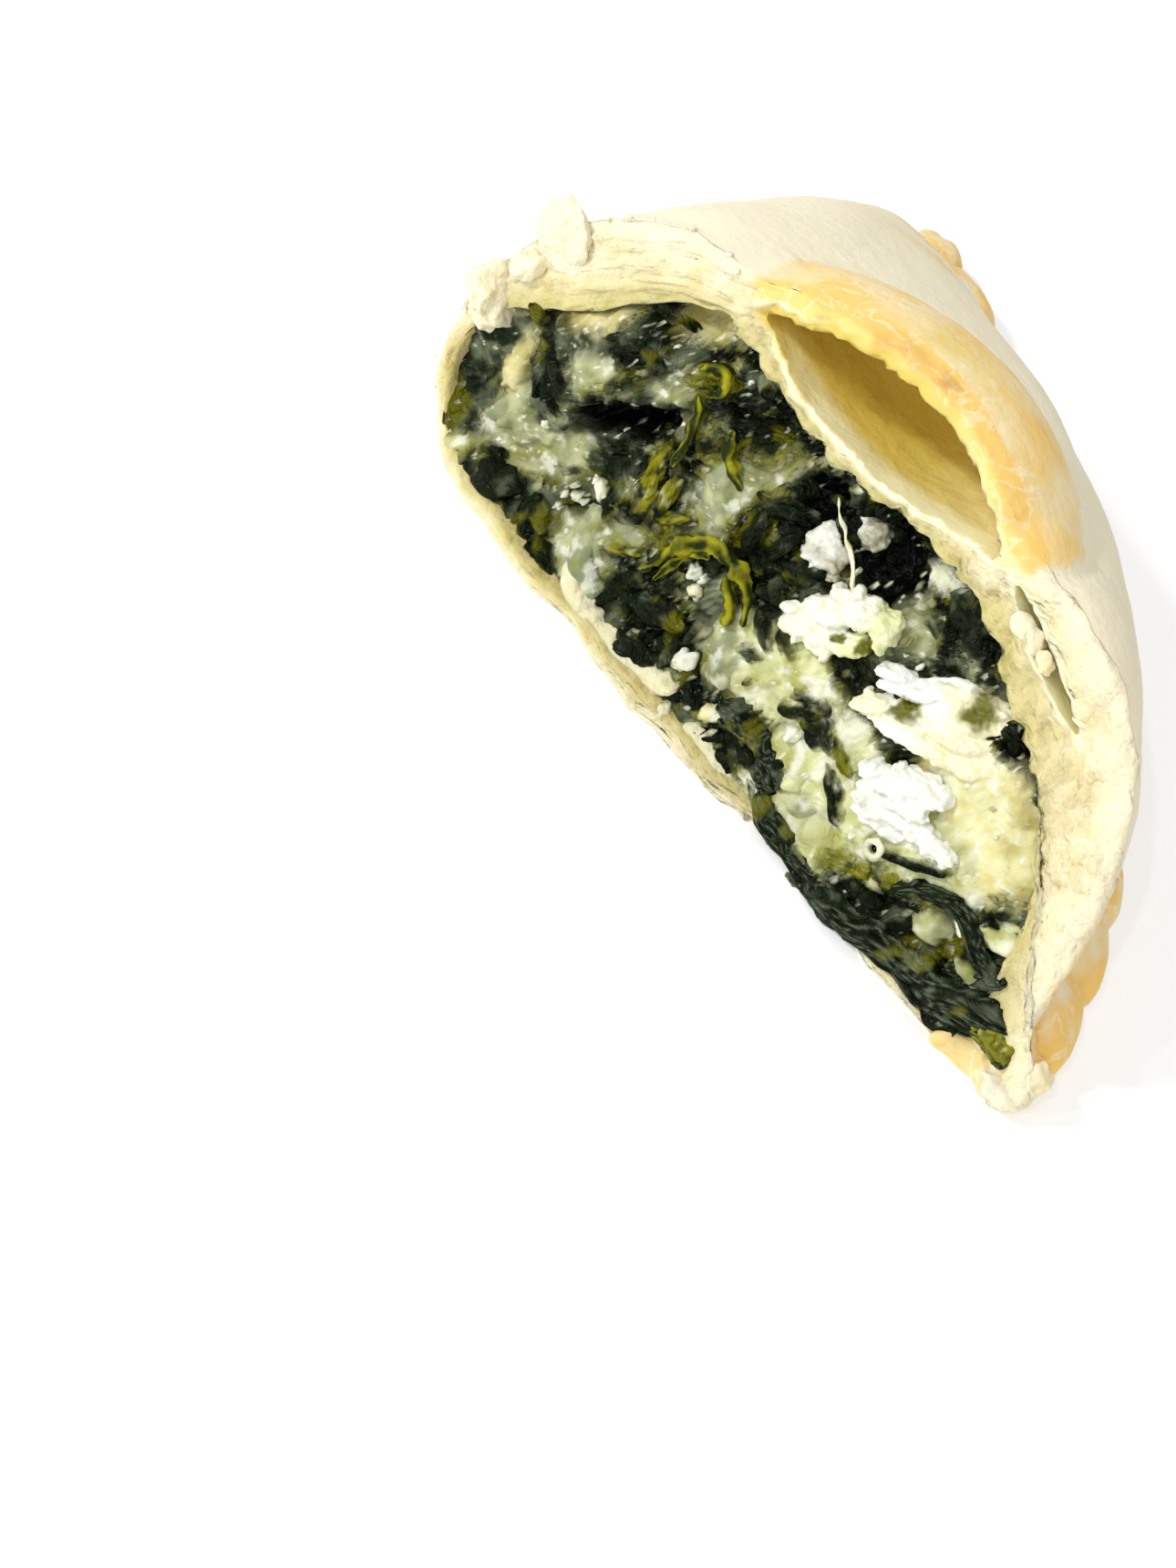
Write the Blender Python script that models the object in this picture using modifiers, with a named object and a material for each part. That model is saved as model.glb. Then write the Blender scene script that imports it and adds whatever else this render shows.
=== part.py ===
"""Half of a baked spinach and feta empanada, torn open across its middle.

Metres, +Z up. The torn face looks along -Y, the fold is the -X side, and the pinched edge curves
from the +X end of the tear round to the far tip at +Y. The half lies on its flat bottom crust, and
the origin is on that surface, under the middle of the bounding box.

The shapes are worked out in plan coordinates, whose origin is the middle of the whole empanada's
fold: x runs across to the pinched edge and y along the fold, away from the tear. A rib is the line
from the fold to the rim at one station k, from 0 at the tear to 1 at the tip. Along a rib, s is 0
at the fold, 1 where the dome meets the pinched edge, and 2 at the rim.
"""
import math

import bmesh
import bpy
import numpy as np
from mathutils import Matrix, Vector, noise

MM = 0.001

# Plan of the half
RADIUS = 73 * MM            # fold to pinched edge along the tear
RIM_FLATTENING = 8.3 * MM   # how far the rim runs inside a circle, most past its middle
TIP_CORNER = 10 * MM        # length of the square corner at the far tip
FOLD_BULGE = 4 * MM         # how far the filling pushes the fold out at the tear

# Height of the crust
DOME_HEIGHT = 28.8 * MM
EDGE_THICKNESS = 4.5 * MM
FOLD_MIDDLE = 10.5 * MM     # height at which the fold stands out furthest
ROUND_OVER = 0.26           # part of s over which the fold rounds up into the dome
ROUND_UNDER = 0.115         # part of s over which it rounds down to the bottom
BOXINESS = 13               # how squarely the dome falls to the edge at the tear
BOXINESS_AT_TIP = 2.2

# Thickness of the dough
BOTTOM_WALL = 2.2 * MM
TOP_WALL = 3.0 * MM
SIDE_WALL = 2.6 * MM
CAVITY_END = 0.05           # share of a rib between the room inside and the pinched edge
CAVITY_BACK = 0.82          # station where the filling ends
CAVITY_STEPS = 12
CLEARANCE = 0.45 * MM

# Pinched edge
CRIMPS = 13
EDGE_WIDTH = 6.5 * MM
EDGE_WIDTH_AT_TEAR = 3.8 * MM
EDGE_RUN = 0.12             # stations over which the edge widens from the tear
CRIMP_RISE = 1.2 * MM
CRIMP_SCALLOP = 0.9 * MM
CRIMP_SLANT = 2.2           # radians that a pinch turns from the dome to the rim
STATIONS_PER_CRIMP = 5

# Tear
TEAR_LEAN = math.tan(math.radians(20))
RAGGED = 1.5 * MM
RAGGED_RUN = 0.06           # stations over which the ragged edge fades
SCRAP_CENTRE = (-1.0 * MM, 7.6 * MM, 19.5 * MM)  # torn scrap of dough that stands on the fold
SCRAP_HALF_SIZES = (2.5 * MM, 1.4 * MM, 3.5 * MM)
SCRAP_TURN = -37            # about Y, in degrees

# Blisters in the top crust: centre and half sizes of the hollow, tilt about Y, rise of the skin
LARGE_BLISTER = ((29 * MM, 14 * MM, 27.8 * MM), (13 * MM, 11 * MM, 3.3 * MM), -3, 5.2 * MM)
SMALL_BLISTER = ((49 * MM, 11 * MM, 25.6 * MM), (6.4 * MM, 6 * MM, 1.2 * MM), 12, 1.2 * MM)
BLISTER_DIP = -9            # tilt about X, so that the hollows fall with the crust behind them
BLISTER_SKIRT = 4 * MM      # how far the raised skin runs out past the hollow
BLISTER_BACK = 2 * MM       # how far behind the hollow's middle the skin rises most
SAG_DEPTH = 2.3 * MM        # how far the crust under the large blister hangs into the filling
SAG_WIDTH = 9 * MM

# Filling: places on the torn face as x and height z, with radius and how far it stands proud
SPINACH_CLUMPS = [
    (1.6, 7.0, 3.8, 1.0), (6.8, 4.4, 3.4, 1.2), (5.0, 13.6, 3.9, 1.5), (9.6, 17.4, 4.2, 1.0),
    (13.4, 4.8, 3.4, 0.8), (15.6, 13.0, 3.6, 0.2), (19.2, 12.6, 3.5, 1.2), (20.2, 7.6, 3.4, 1.2),
    (25.2, 5.6, 3.8, 1.6), (22.6, 19.0, 2.8, 0.4), (30.4, 12.6, 3.0, 1.8), (32.4, 14.2, 3.4, 0.6),
    (28.2, 16.6, 2.6, 1.2), (43.2, 21.0, 2.8, 0.6), (40.9, 10.2, 3.2, 1.6), (39.0, 5.4, 3.6, 1.8),
    (46.0, 7.6, 2.6, 1.0), (55.0, 4.8, 3.8, 1.4), (60.2, 5.0, 3.8, 1.2), (63.4, 4.9, 3.0, 0.8),
]
CHEESE_LUMPS = [
    (7.6, 9.6, 3.0, 0.8), (3.0, 10.2, 2.4, 0.2), (13.0, 9.0, 2.4, 1.2), (16.4, 5.4, 2.6, 1.4),
    (24.6, 16.6, 4.2, 0.6), (26.0, 10.0, 2.0, 2.2), (29.8, 5.4, 2.0, 1.4), (34.0, 6.4, 3.8, 1.6),
    (45.3, 5.6, 4.2, 1.2), (51.0, 4.6, 3.2, 1.0), (55.0, 8.6, 3.2, 1.2), (57.4, 12.6, 3.6, 0.2),
]
LEAVES = [                  # x, z, length, width of the wave, turn about Y in degrees
    (26.5, 11.5, 11, 3.0, 35), (14.0, 4.4, 7, 1.6, 60), (8.6, 14.6, 8, 1.8, -20),
    (44.6, 8.4, 7, 1.4, 55), (57.0, 6.6, 12, 1.6, 28), (60.5, 3.9, 10, 1.2, 20),
    (20.6, 18.4, 7, 1.4, 80), (42.0, 21.4, 6, 1.2, 30), (38.6, 5.8, 7, 1.5, 50),
]
LEAF_PROUD = 1.6 * MM
LEAF_DEPTH = 4 * MM
LEAF_THICKNESS = 0.9 * MM
HOLLOWS = [                 # x, z, width, depth of the gaps that the mixture leaves
    (12.6, 13.8, 3.0, 3.2), (13.0, 21.8, 3.6, 3.4), (36.6, 20.8, 4.0, 3.0), (53.4, 18.6, 2.0, 2.6),
]
# Feta pieces: x, z, half sizes along x, y and z, turn about Y in degrees, how far proud
FETA_PIECES = {
    "feta_crumble_middle": (38.4, 15.8, 4.4, 3.2, 2.7, 14, 2.0),
    "feta_slab": (48.2, 17.0, 4.8, 3.2, 3.0, 24, 0.9),
    "feta_crumble_white": (50.0, 9.8, 3.5, 3.0, 2.8, 30, 1.9),
    "feta_crumble_small": (31.4, 20.6, 2.6, 2.3, 2.1, 0, 1.4),
}
FILLING_SET_BACK = 1.6 * MM  # how far the mixture's face lies behind the tear line
FILLING_SHORT = 0.015        # stations by which the mixture stops before the back wall
FACE_GRID = (20, 9)
FACE_ROUGHNESS = 0.9 * MM
FEW_FACES, MORE_FACES = 2, 3  # subdivisions of a small and a large lump
LARGE_CLUMP = 3.79            # radius from which a clump of spinach counts as large
CLUMP_FORM = (1.2, 0.8, 0.75)  # proportions of a clump of spinach, and of a lump of cheese
CHEESE_FORM = (1.0, 0.8, 0.9)

PASTRY_COLOUR = (0.93, 0.84, 0.62, 1)
FILLING_COLOUR = (0.09, 0.13, 0.05, 1)
FETA_COLOUR = (0.90, 0.90, 0.74, 1)


def smooth(t):
    t = min(max(t, 0.0), 1.0)
    return t * t * (3 - 2 * t)


def wobble(x, y, z, scale, seed=0.0):
    """Smooth noise between about -1 and 1 that changes over a distance of scale."""
    return noise.noise(Vector((x / scale + seed, y / scale - seed, z / scale + 2 * seed)))


def rib(k):
    """The plan points at the fold and at the pinched edge of station k."""
    fold = Vector((-FOLD_BULGE * (1 - max(k, 0)) ** 1.5, k * (RADIUS - TIP_CORNER)))
    turn = k * math.pi / 2
    radius = RADIUS - RIM_FLATTENING * math.sin(math.pi * max(k, 0) ** 1.3)
    edge = radius * Vector((math.cos(turn), math.sin(turn)))
    return fold, edge


def foot(k):
    """The share of a rib where the dome meets the pinched edge."""
    fold, edge = rib(k)
    width = EDGE_WIDTH + (EDGE_WIDTH_AT_TEAR - EDGE_WIDTH) * smooth(1 - k / EDGE_RUN)
    return 1 - width / (edge - fold).length


def along_rib(k, s):
    """The share of a rib at s."""
    return foot(k) * min(s, 1) + (1 - foot(k)) * max(s - 1, 0)


def fold_middle(k):
    middle = EDGE_THICKNESS / 2
    return middle + (FOLD_MIDDLE - middle) * (1 - max(k, 0) ** 1.8) ** 0.9


def dome_height(k):
    return EDGE_THICKNESS + (DOME_HEIGHT - EDGE_THICKNESS) * (1 - max(k, 0) ** 2.2) ** 1.08


def crust_height(k, s):
    """Height of the top crust over the bottom, without the round of the fold."""
    boxiness = BOXINESS_AT_TIP + (BOXINESS - BOXINESS_AT_TIP) * (1 - max(k, 0)) ** 2.4
    return EDGE_THICKNESS + (dome_height(k) - EDGE_THICKNESS) * (1 - min(s, 1) ** boxiness)


def quarter(t):
    """A quarter of an ellipse: 0 at the fold's middle, 1 where its round ends."""
    return math.sqrt(1 - (1 - min(t, 1)) ** 2)


def section(points_on_top):
    """The points round one section: which side each is on, and its s."""
    under = [("under", s) for s in (2.0, 1.7, 1.0, 0.75, 0.5, 0.25)]
    turns = [math.radians(angle) for angle in (0, 22, 45, 68)]
    under_fold = [("under", ROUND_UNDER * (1 - math.sin(t))) for t in turns]
    turns = [math.radians(angle) for angle in (0, 18, 36, 54, 72)]
    over_fold = [("over", ROUND_OVER * (1 - math.cos(t))) for t in turns[1:]]
    over = [("over", s) for s in points_on_top]
    return under + under_fold + [("over", 0.0)] + over_fold + over


TOP_STATIONS = (0.28, 0.38, 0.48, 0.57, 0.66, 0.74, 0.81, 0.87, 0.92, 0.96, 1.0, 1.3, 1.6, 1.85,
                2.0)
SECTION = section(TOP_STATIONS)


def lean(k, z):
    """How far back the tear's lean carries a point at height z, fading away from the tear."""
    return z * TEAR_LEAN * (1 - max(k, 0)) ** 3


def ragged(x, z, seed):
    return RAGGED * (wobble(x, 0, z, 6 * MM, seed) + 0.7 * wobble(x, 0, z, 2.4 * MM, seed + 5))


def blister_rise(x, y, blister):
    """How far a blister lifts the outer skin over a plan point."""
    (cx, cy, _), (a, b, _), _, rise = blister
    u, v = (x - cx) / (a + BLISTER_SKIRT), (y - cy - BLISTER_BACK) / (b + BLISTER_SKIRT)
    return rise * max(1 - u * u - v * v, 0) ** 1.2


def crimp_wave(k, s):
    """The pinches as a wave between -1 and 1; each slants across the edge, and the tip has none."""
    return math.cos(2 * math.pi * CRIMPS * k + CRIMP_SLANT * (s - 1)) * smooth((1 - k) / 0.03)


def outer_point(k, side, s):
    """A point on the outside of the crust."""
    fold, edge = rib(k)
    band = max(s - 1, 0)
    wave = crimp_wave(k, s)
    x, y = fold.lerp(edge, along_rib(k, s)) + edge.normalized() * CRIMP_SCALLOP * wave * band
    middle = fold_middle(k)
    if side == "under":
        z = middle * (1 - quarter(s / ROUND_UNDER)) + 0.2 * EDGE_THICKNESS * (s == 2.0)
    else:
        z = middle + (crust_height(k, s) - middle) * quarter(s / ROUND_OVER)
        z += CRIMP_RISE * wave * smooth((s - 0.96) / 0.3) * (1 - 0.5 * band)
        z -= 0.35 * EDGE_THICKNESS * band ** 3
    y += lean(k, z) + ragged(x, z, 3.0) * max(1 - k / RAGGED_RUN, 0)
    if side == "over" and s < 1:
        calm = smooth((1 - s) / 0.1) * smooth(s / ROUND_OVER)
        z += 0.5 * MM * wobble(x, y, 0, 11 * MM, 1.0) * calm
        z += sum(blister_rise(x, y, b) for b in (LARGE_BLISTER, SMALL_BLISTER))
    return x, y, z


def inner_point(k, side, s, gap=0.0):
    """A point on the wall of the space that holds the filling, drawn in by gap."""
    fold, edge = rib(k)
    width = (edge - fold).length
    near, far = (SIDE_WALL + gap) / width, foot(k) - CAVITY_END - 2 * gap / width
    reach = 0.88 * min(s, 1) + 0.12 * max(s - 1, 0)
    share = near + (far - near) * reach
    x, y = fold.lerp(edge, share)
    sag = SAG_DEPTH * math.exp(-((x - LARGE_BLISTER[0][0] + 3 * MM) / SAG_WIDTH) ** 2)
    low = BOTTOM_WALL + gap
    high = crust_height(k, share / foot(k)) - TOP_WALL - sag * smooth(1.4 - 2.4 * max(k, 0)) - gap
    room = max(high - low, 0.6 * MM) * math.sqrt(1 - reach ** 8 * 0.96)
    middle = low + room * (fold_middle(k) - low) / max(dome_height(k) - TOP_WALL - low, 4 * MM)
    if side == "over":
        z = middle + (low + room - middle) * quarter((share - near) / (ROUND_OVER - near))
    else:
        z = middle - (middle - low) * quarter((share - near) / (ROUND_UNDER - near * 0.5))
    return x, y + lean(k, z), z


def mesh_object(name, points, faces, collection):
    mesh = bpy.data.meshes.new(name)
    mesh.from_pydata([tuple(p) for p in points], [], faces)
    shape = bmesh.new()
    shape.from_mesh(mesh)
    bmesh.ops.triangulate(shape, faces=[f for f in shape.faces if len(f.verts) > 4])
    bmesh.ops.recalc_face_normals(shape, faces=shape.faces)
    if shape.calc_volume(signed=True) < 0:
        bmesh.ops.reverse_faces(shape, faces=shape.faces)
    shape.to_mesh(mesh)
    shape.free()
    made = bpy.data.objects.new(name, mesh)
    collection.objects.link(made)
    return made


def bands(rings, count, first=0):
    """Quads between neighbouring rings of count points each."""
    return [(first + a * count + i, first + a * count + (i + 1) % count,
             first + (a + 1) * count + (i + 1) % count, first + (a + 1) * count + i)
            for a in range(rings - 1) for i in range(count)]


def crust_stations():
    """Stations along the crust, closer together at the ragged tear."""
    steps = CRIMPS * STATIONS_PER_CRIMP
    return [0.0, 0.006, 0.014] + [i / steps for i in range(2, steps + 1)]


def build_pastry(collection):
    """The crust as one shell: inner wall, torn rim, outer skin, in that order of rings."""
    count = len(SECTION)
    inner_stations = [CAVITY_BACK * (1 - i / CAVITY_STEPS) for i in range(CAVITY_STEPS + 1)]
    rings = [[inner_point(k, *p) for p in SECTION] for k in inner_stations]
    rings[-1] = [(x, y + ragged(x, z, 11.0) * 0.6, z) for x, y, z in rings[-1]]
    outer = [[outer_point(k, *p) for p in SECTION] for k in crust_stations()]
    rim = []
    for i, (inside, outside) in enumerate(zip(rings[-1], outer[0])):
        x, y, z = (np.array(inside) + np.array(outside)) / 2
        rim.append((x, y - 0.5 * MM + 1.1 * MM * wobble(x, i * MM, z, 2 * MM, 7.0), z))
    rings += [rim] + outer
    points = [p for ring in rings for p in ring]
    faces = bands(len(rings), count)
    faces.append(tuple(range(count)))
    faces.append(tuple(range(len(points) - count, len(points))))
    pastry = mesh_object("pastry", points, faces, collection)
    for centre, half_sizes, tilt, _ in (LARGE_BLISTER, SMALL_BLISTER):
        cut(pastry, ellipsoid(centre, half_sizes, BLISTER_DIP, tilt, 20))
    scrap = ellipsoid(SCRAP_CENTRE, SCRAP_HALF_SIZES, 0, SCRAP_TURN, 10)
    combine(pastry, scrap, "UNION")
    bpy.data.objects.remove(scrap)
    return pastry


def ellipsoid(centre, half_sizes, dip, turn, segments):
    """An ellipsoid dipped about X, then turned about Y, both in degrees."""
    bpy.ops.mesh.primitive_uv_sphere_add(segments=segments, ring_count=segments * 3 // 5)
    made = bpy.context.object
    turned = (Matrix.Rotation(math.radians(turn), 4, "Y")
              @ Matrix.Rotation(math.radians(dip), 4, "X"))
    made.data.transform(Matrix.Translation(centre) @ turned @ Matrix.Diagonal((*half_sizes, 1)))
    return made


def combine(target, other, operation, solver="EXACT"):
    step = target.modifiers.new(operation.lower(), "BOOLEAN")
    step.operation = operation
    step.solver = solver
    if isinstance(other, bpy.types.Collection):
        step.operand_type = "COLLECTION"
        step.collection = other
    else:
        step.object = other
    bpy.context.view_layer.objects.active = target
    bpy.ops.object.modifier_apply(modifier=step.name)


def cut(target, cutter, solver="EXACT"):
    combine(target, cutter, "DIFFERENCE", solver)
    bpy.data.objects.remove(cutter)


def face_depth(x, z):
    """Where the mixture's torn face lies in y, with its gaps but without its lumps."""
    y = z * TEAR_LEAN + FILLING_SET_BACK
    y += FACE_ROUGHNESS * wobble(x, 0, z, 4 * MM, 21.0)
    for cx, cz, width, depth in HOLLOWS:
        away = ((x / MM - cx) ** 2 + (z / MM - cz) ** 2) / width ** 2
        y += depth * MM * math.exp(-away)
    return y


def move_to(collection, thing):
    for holder in thing.users_collection:
        holder.objects.unlink(thing)
    collection.objects.link(thing)


def lump(x, z, radius, proud, seed, detail, collection, flat, rough):
    """A knobbly lump of the mixture at a place on the torn face, turned by its own angle."""
    bpy.ops.mesh.primitive_ico_sphere_add(subdivisions=detail, radius=1)
    ball = bpy.context.object
    centre = Vector((x, z * TEAR_LEAN + FILLING_SET_BACK + radius * 0.6 - proud * MM, z))
    turn = Matrix.Rotation(seed * 2.4, 3, "Y") @ Matrix.Rotation(0.5 * math.sin(seed), 3, "X")
    for vertex in ball.data.vertices:
        swell = 1 + rough * (wobble(*vertex.co, 0.8, seed) + 0.5 * wobble(*vertex.co, 0.35, seed))
        vertex.co = turn @ Vector(c * f for c, f in zip(vertex.co, flat)) * radius * swell + centre
    move_to(collection, ball)


def leaf(x, z, length, width, turn, seed, collection):
    """A folded leaf of spinach: a thin wavy strip that stands out of the mixture."""
    bpy.ops.mesh.primitive_grid_add(x_subdivisions=7, y_subdivisions=2, size=2)
    strip = bpy.context.object
    spin = Matrix.Rotation(math.radians(turn), 3, "Y")
    centre = Vector((x, z * TEAR_LEAN + FILLING_SET_BACK, z))
    for vertex in strip.data.vertices:
        u, v = vertex.co.x, vertex.co.y
        across = (0.6 * math.sin(2.6 * u + seed) + 0.25 * math.sin(5 * u + 2 * seed)) * width
        out = -(0.5 + 0.5 * math.cos(u * math.pi / 2)) * LEAF_PROUD
        bent = Vector((u * length / 2, out + (v + 1) * LEAF_DEPTH / 2, across * (1 + 0.3 * v)))
        vertex.co = spin @ bent + centre
    thick = strip.modifiers.new("thick", "SOLIDIFY")
    thick.thickness = LEAF_THICKNESS
    thick.offset = 0
    bpy.ops.object.modifier_apply(modifier=thick.name)
    move_to(collection, strip)


def build_filling(collection):
    """The mixture: its torn face and lumps, kept to the room inside the crust."""
    lumps = bpy.data.collections.new("lumps")
    bpy.context.scene.collection.children.link(lumps)
    for i, (x, z, radius, proud) in enumerate(SPINACH_CLUMPS):
        detail = MORE_FACES if radius > LARGE_CLUMP else FEW_FACES
        lump(x * MM, z * MM, radius * MM, proud, 31.0 + i, detail, lumps, CLUMP_FORM, 0.5)
    for i, (x, z, radius, proud) in enumerate(CHEESE_LUMPS):
        lump(x * MM, z * MM, radius * MM, proud, 61.0 + i, FEW_FACES, lumps, CHEESE_FORM, 0.3)
    for i, (x, z, length, width, turn) in enumerate(LEAVES):
        leaf(x * MM, z * MM, length * MM, width * MM, turn, 1.0 + i, lumps)

    mixture = face_block()
    combine(mixture, lumps, "UNION", "MANIFOLD")
    for ball in list(lumps.objects):
        bpy.data.objects.remove(ball)
    bpy.data.collections.remove(lumps)

    room_section = section((0.33, 0.45, 0.57, 0.69, 0.81, 0.91, 1.0, 1.5, 2.0))
    back = CAVITY_BACK - FILLING_SHORT
    stations = [-0.2, -0.1] + [back * i / CAVITY_STEPS for i in range(CAVITY_STEPS + 1)]
    rings = [[inner_point(k, *p, gap=CLEARANCE) for p in room_section] for k in stations]
    count = len(room_section)
    faces = bands(len(rings), count)
    faces.append(tuple(range(count)))
    faces.append(tuple(range((len(rings) - 1) * count, len(rings) * count)))
    filling = mesh_object("filling", [p for ring in rings for p in ring], faces, collection)
    combine(filling, mixture, "INTERSECT", "MANIFOLD")
    bpy.data.objects.remove(mixture)
    return filling


def face_block():
    """A deep block whose front is the rough torn face of the mixture."""
    across, up = FACE_GRID
    bpy.ops.mesh.primitive_grid_add(x_subdivisions=across, y_subdivisions=up, size=2)
    block = bpy.context.object
    shape = bmesh.new()
    shape.from_mesh(block.data)
    for vertex in shape.verts:
        x = (34 + 43 * vertex.co.x) * MM
        z = (14 + 17 * vertex.co.y) * MM
        vertex.co = (x, face_depth(x, z), z)
    pushed = bmesh.ops.extrude_face_region(shape, geom=shape.faces[:])
    for item in pushed["geom"]:
        if isinstance(item, bmesh.types.BMVert):
            item.co.y = 95 * MM
    bmesh.ops.recalc_face_normals(shape, faces=shape.faces)
    shape.to_mesh(block.data)
    shape.free()
    return block


def build_feta(collection, filling):
    """Each large piece of feta as its own body, in a socket of the mixture."""
    for seed, (name, values) in enumerate(FETA_PIECES.items()):
        x, z, half_x, half_y, half_z, turn, proud = values
        centre = Vector((x, z * TEAR_LEAN, z)) * MM
        centre.y += FILLING_SET_BACK + (0.5 * half_y - proud) * MM
        for grow, target in ((CLEARANCE, None), (0.0, name)):
            bpy.ops.mesh.primitive_ico_sphere_add(subdivisions=MORE_FACES, radius=1)
            piece = bpy.context.object
            size = Vector((half_x, half_y, half_z)) * MM
            spin = Matrix.Rotation(math.radians(turn), 3, "Y")
            for vertex in piece.data.vertices:
                blocky = vertex.co / max(abs(c) for c in vertex.co) * 0.25 + vertex.co * 0.75
                swell = 1 + 0.28 * wobble(*vertex.co, 0.55, 80.0 + seed)
                spot = Vector(c * (d + grow) for c, d in zip(blocky, size)) * swell
                vertex.co = spin @ spot + centre
            if target is None:
                cut(filling, piece, "MANIFOLD")
                continue
            piece.name = piece.data.name = target
            move_to(collection, piece)


def material(name, colour, roughness):
    made = bpy.data.materials.new(name)
    made.use_nodes = True
    shader = made.node_tree.nodes["Principled BSDF"]
    shader.inputs["Base Color"].default_value = colour
    shader.inputs["Roughness"].default_value = roughness
    shader.inputs["Metallic"].default_value = 0.0
    return made


def finish(parts, collection):
    """Gives each part its material and stands the half on the origin."""
    looks = {
        "pastry": material("pastry", PASTRY_COLOUR, 0.75),
        "filling": material("filling", FILLING_COLOUR, 0.35),
        "feta": material("feta", FETA_COLOUR, 0.6),
    }
    corners = np.array([v.co for part in parts for v in part.data.vertices])
    low, high = corners.min(0), corners.max(0)
    middle = ((low[0] + high[0]) / 2, (low[1] + high[1]) / 2, low[2])
    stand = bpy.data.objects.new("stand", None)
    collection.objects.link(stand)
    stand.location = [-c for c in middle]
    for part in parts:
        part.parent = stand
        part.data.materials.clear()
        part.data.materials.append(looks["feta" if part.name.startswith("feta") else part.name])
        part.data.shade_smooth()
        part.data.set_sharp_from_angle(angle=math.radians(40))


def main():
    for old in list(bpy.data.objects):
        bpy.data.objects.remove(old)
    collection = bpy.data.collections.new("spinach_feta_empanada_half")
    bpy.context.scene.collection.children.link(collection)
    build_pastry(collection)
    filling = build_filling(collection)
    build_feta(collection, filling)
    parts = [o for o in collection.objects if o.type == "MESH"]
    finish(parts, collection)


main()
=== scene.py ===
"""The torn half of a spinach and feta empanada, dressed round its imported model.

Sizes are in millimetres until a mesh is placed. Plan coordinates have their origin on the board,
under the middle of the whole empanada's fold: x runs across to the pinched edge, y along the fold
away from the tear, and z is the height. A rib is the line from the fold to the rim at a station k,
from 0 at the tear to 1 at the far tip. Along a rib, s is 0 at the fold, 1 where the dome meets the
pinched edge, and 2 at the rim.
"""
import math

import bpy
import numpy as np
from mathutils import Matrix, Quaternion, Vector, noise


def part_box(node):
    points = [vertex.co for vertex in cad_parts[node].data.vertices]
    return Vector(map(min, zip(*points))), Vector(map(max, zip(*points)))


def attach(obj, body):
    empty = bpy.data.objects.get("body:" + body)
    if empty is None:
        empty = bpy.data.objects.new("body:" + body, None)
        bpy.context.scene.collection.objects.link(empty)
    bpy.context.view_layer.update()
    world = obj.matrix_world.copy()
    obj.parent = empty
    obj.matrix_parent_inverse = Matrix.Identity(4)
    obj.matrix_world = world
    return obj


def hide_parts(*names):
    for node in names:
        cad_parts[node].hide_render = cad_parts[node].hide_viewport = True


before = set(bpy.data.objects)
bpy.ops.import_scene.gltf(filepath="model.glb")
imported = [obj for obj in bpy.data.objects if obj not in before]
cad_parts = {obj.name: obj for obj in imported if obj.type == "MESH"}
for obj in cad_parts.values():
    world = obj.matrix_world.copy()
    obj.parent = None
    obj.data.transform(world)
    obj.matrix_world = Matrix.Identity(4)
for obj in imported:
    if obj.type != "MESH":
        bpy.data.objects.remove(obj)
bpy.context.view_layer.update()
bpy.ops.object.select_all(action="DESELECT")

MM = 0.001
FAR_CORNER = (73.11, 73.0)          # plan place of the pastry's furthest corner
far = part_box("pastry")[1]
PLAN_ORIGIN = np.array((far.x - FAR_CORNER[0] * MM, far.y - FAR_CORNER[1] * MM, 0.0))

# Camera and light
CAMERA_PLACE = (64.45, -94.78, 110.36)
CAMERA_AIM = (31.33, -5.76, -5.74)
CAMERA_ROLL = 34.4
CAMERA_LENS = 41.86
WORLD_LIGHT = 0.44
FLOOR_GLOW = 0.17
LIGHT_AIM = (0, 0, 0.01)            # in metres, as the lights' places are
GLINTS = ((-0.14, -0.38, 0.14), (0.17, -0.36, 0.24), (-0.05, -0.34, 0.36), (0.30, -0.20, 0.30))

# Plan and height of the crust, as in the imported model
RADIUS = 73
RIM_FLATTENING = 8.3
TIP_CORNER = 10
FOLD_BULGE = 5.3
DOME_HEIGHT = 28.8
EDGE_THICKNESS = 4.5
FOLD_MIDDLE = 10.5
ROUND_OVER = 0.26
ROUND_UNDER = 0.115
BOXINESS = 13
BOXINESS_AT_TIP = 2.2
BOTTOM_WALL = 2.2
BOTTOM_WALL_AT_TEAR = 1.3
TOP_WALL = 3.0
THICK_PLACE = (51, 6, 2.4)          # x, half width and extra thickness of the top crust at the tear
SIDE_WALL = 1.7
CAVITY_END = 0.05
CAVITY_BACK = 0.82
SAG_DEPTH = 2.3
SAG_WIDTH = 9
SHOULDER = (0.5, 8, 7)              # x, half width and depth of the thick dough over the fold
TEAR_LEAN = math.tan(math.radians(20))

# Pinched edge
CRIMPS = 13
EDGE_WIDTH = 6.5
EDGE_WIDTH_AT_TEAR = 3.8
EDGE_RUN = 0.12                     # how far along the crust the edge widens to its full width
EDGE_START = 0.93                   # s where the pinches start to swell
CRIMP_RISE = 1.5
CRIMP_SCALLOP = 0.8
CRIMP_SLANT = 0.42                  # share of a pinch by which it slants from the dome to the rim

# Tear
RAGGED = 0.9                        # relief of the ragged edge
RAGGED_RUN = 4.5                    # how far from the tear the ragged edge fades
CRUMBLE = 0.4                       # relief of the torn dough
LIP_RELIEF = 0.28                   # relief of the thin lip over the large blister
INSIDE_RELIEF = 0.5                 # relief of the inner wall near the tear
SKIN_SWELL = 0.45                   # wide unevenness of the outer skin
SKIN_RELIEF = 0.07                  # its fine unevenness
BOTTOM_FORWARD = 1.5                # how far the bottom crust's torn edge stands out

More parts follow.
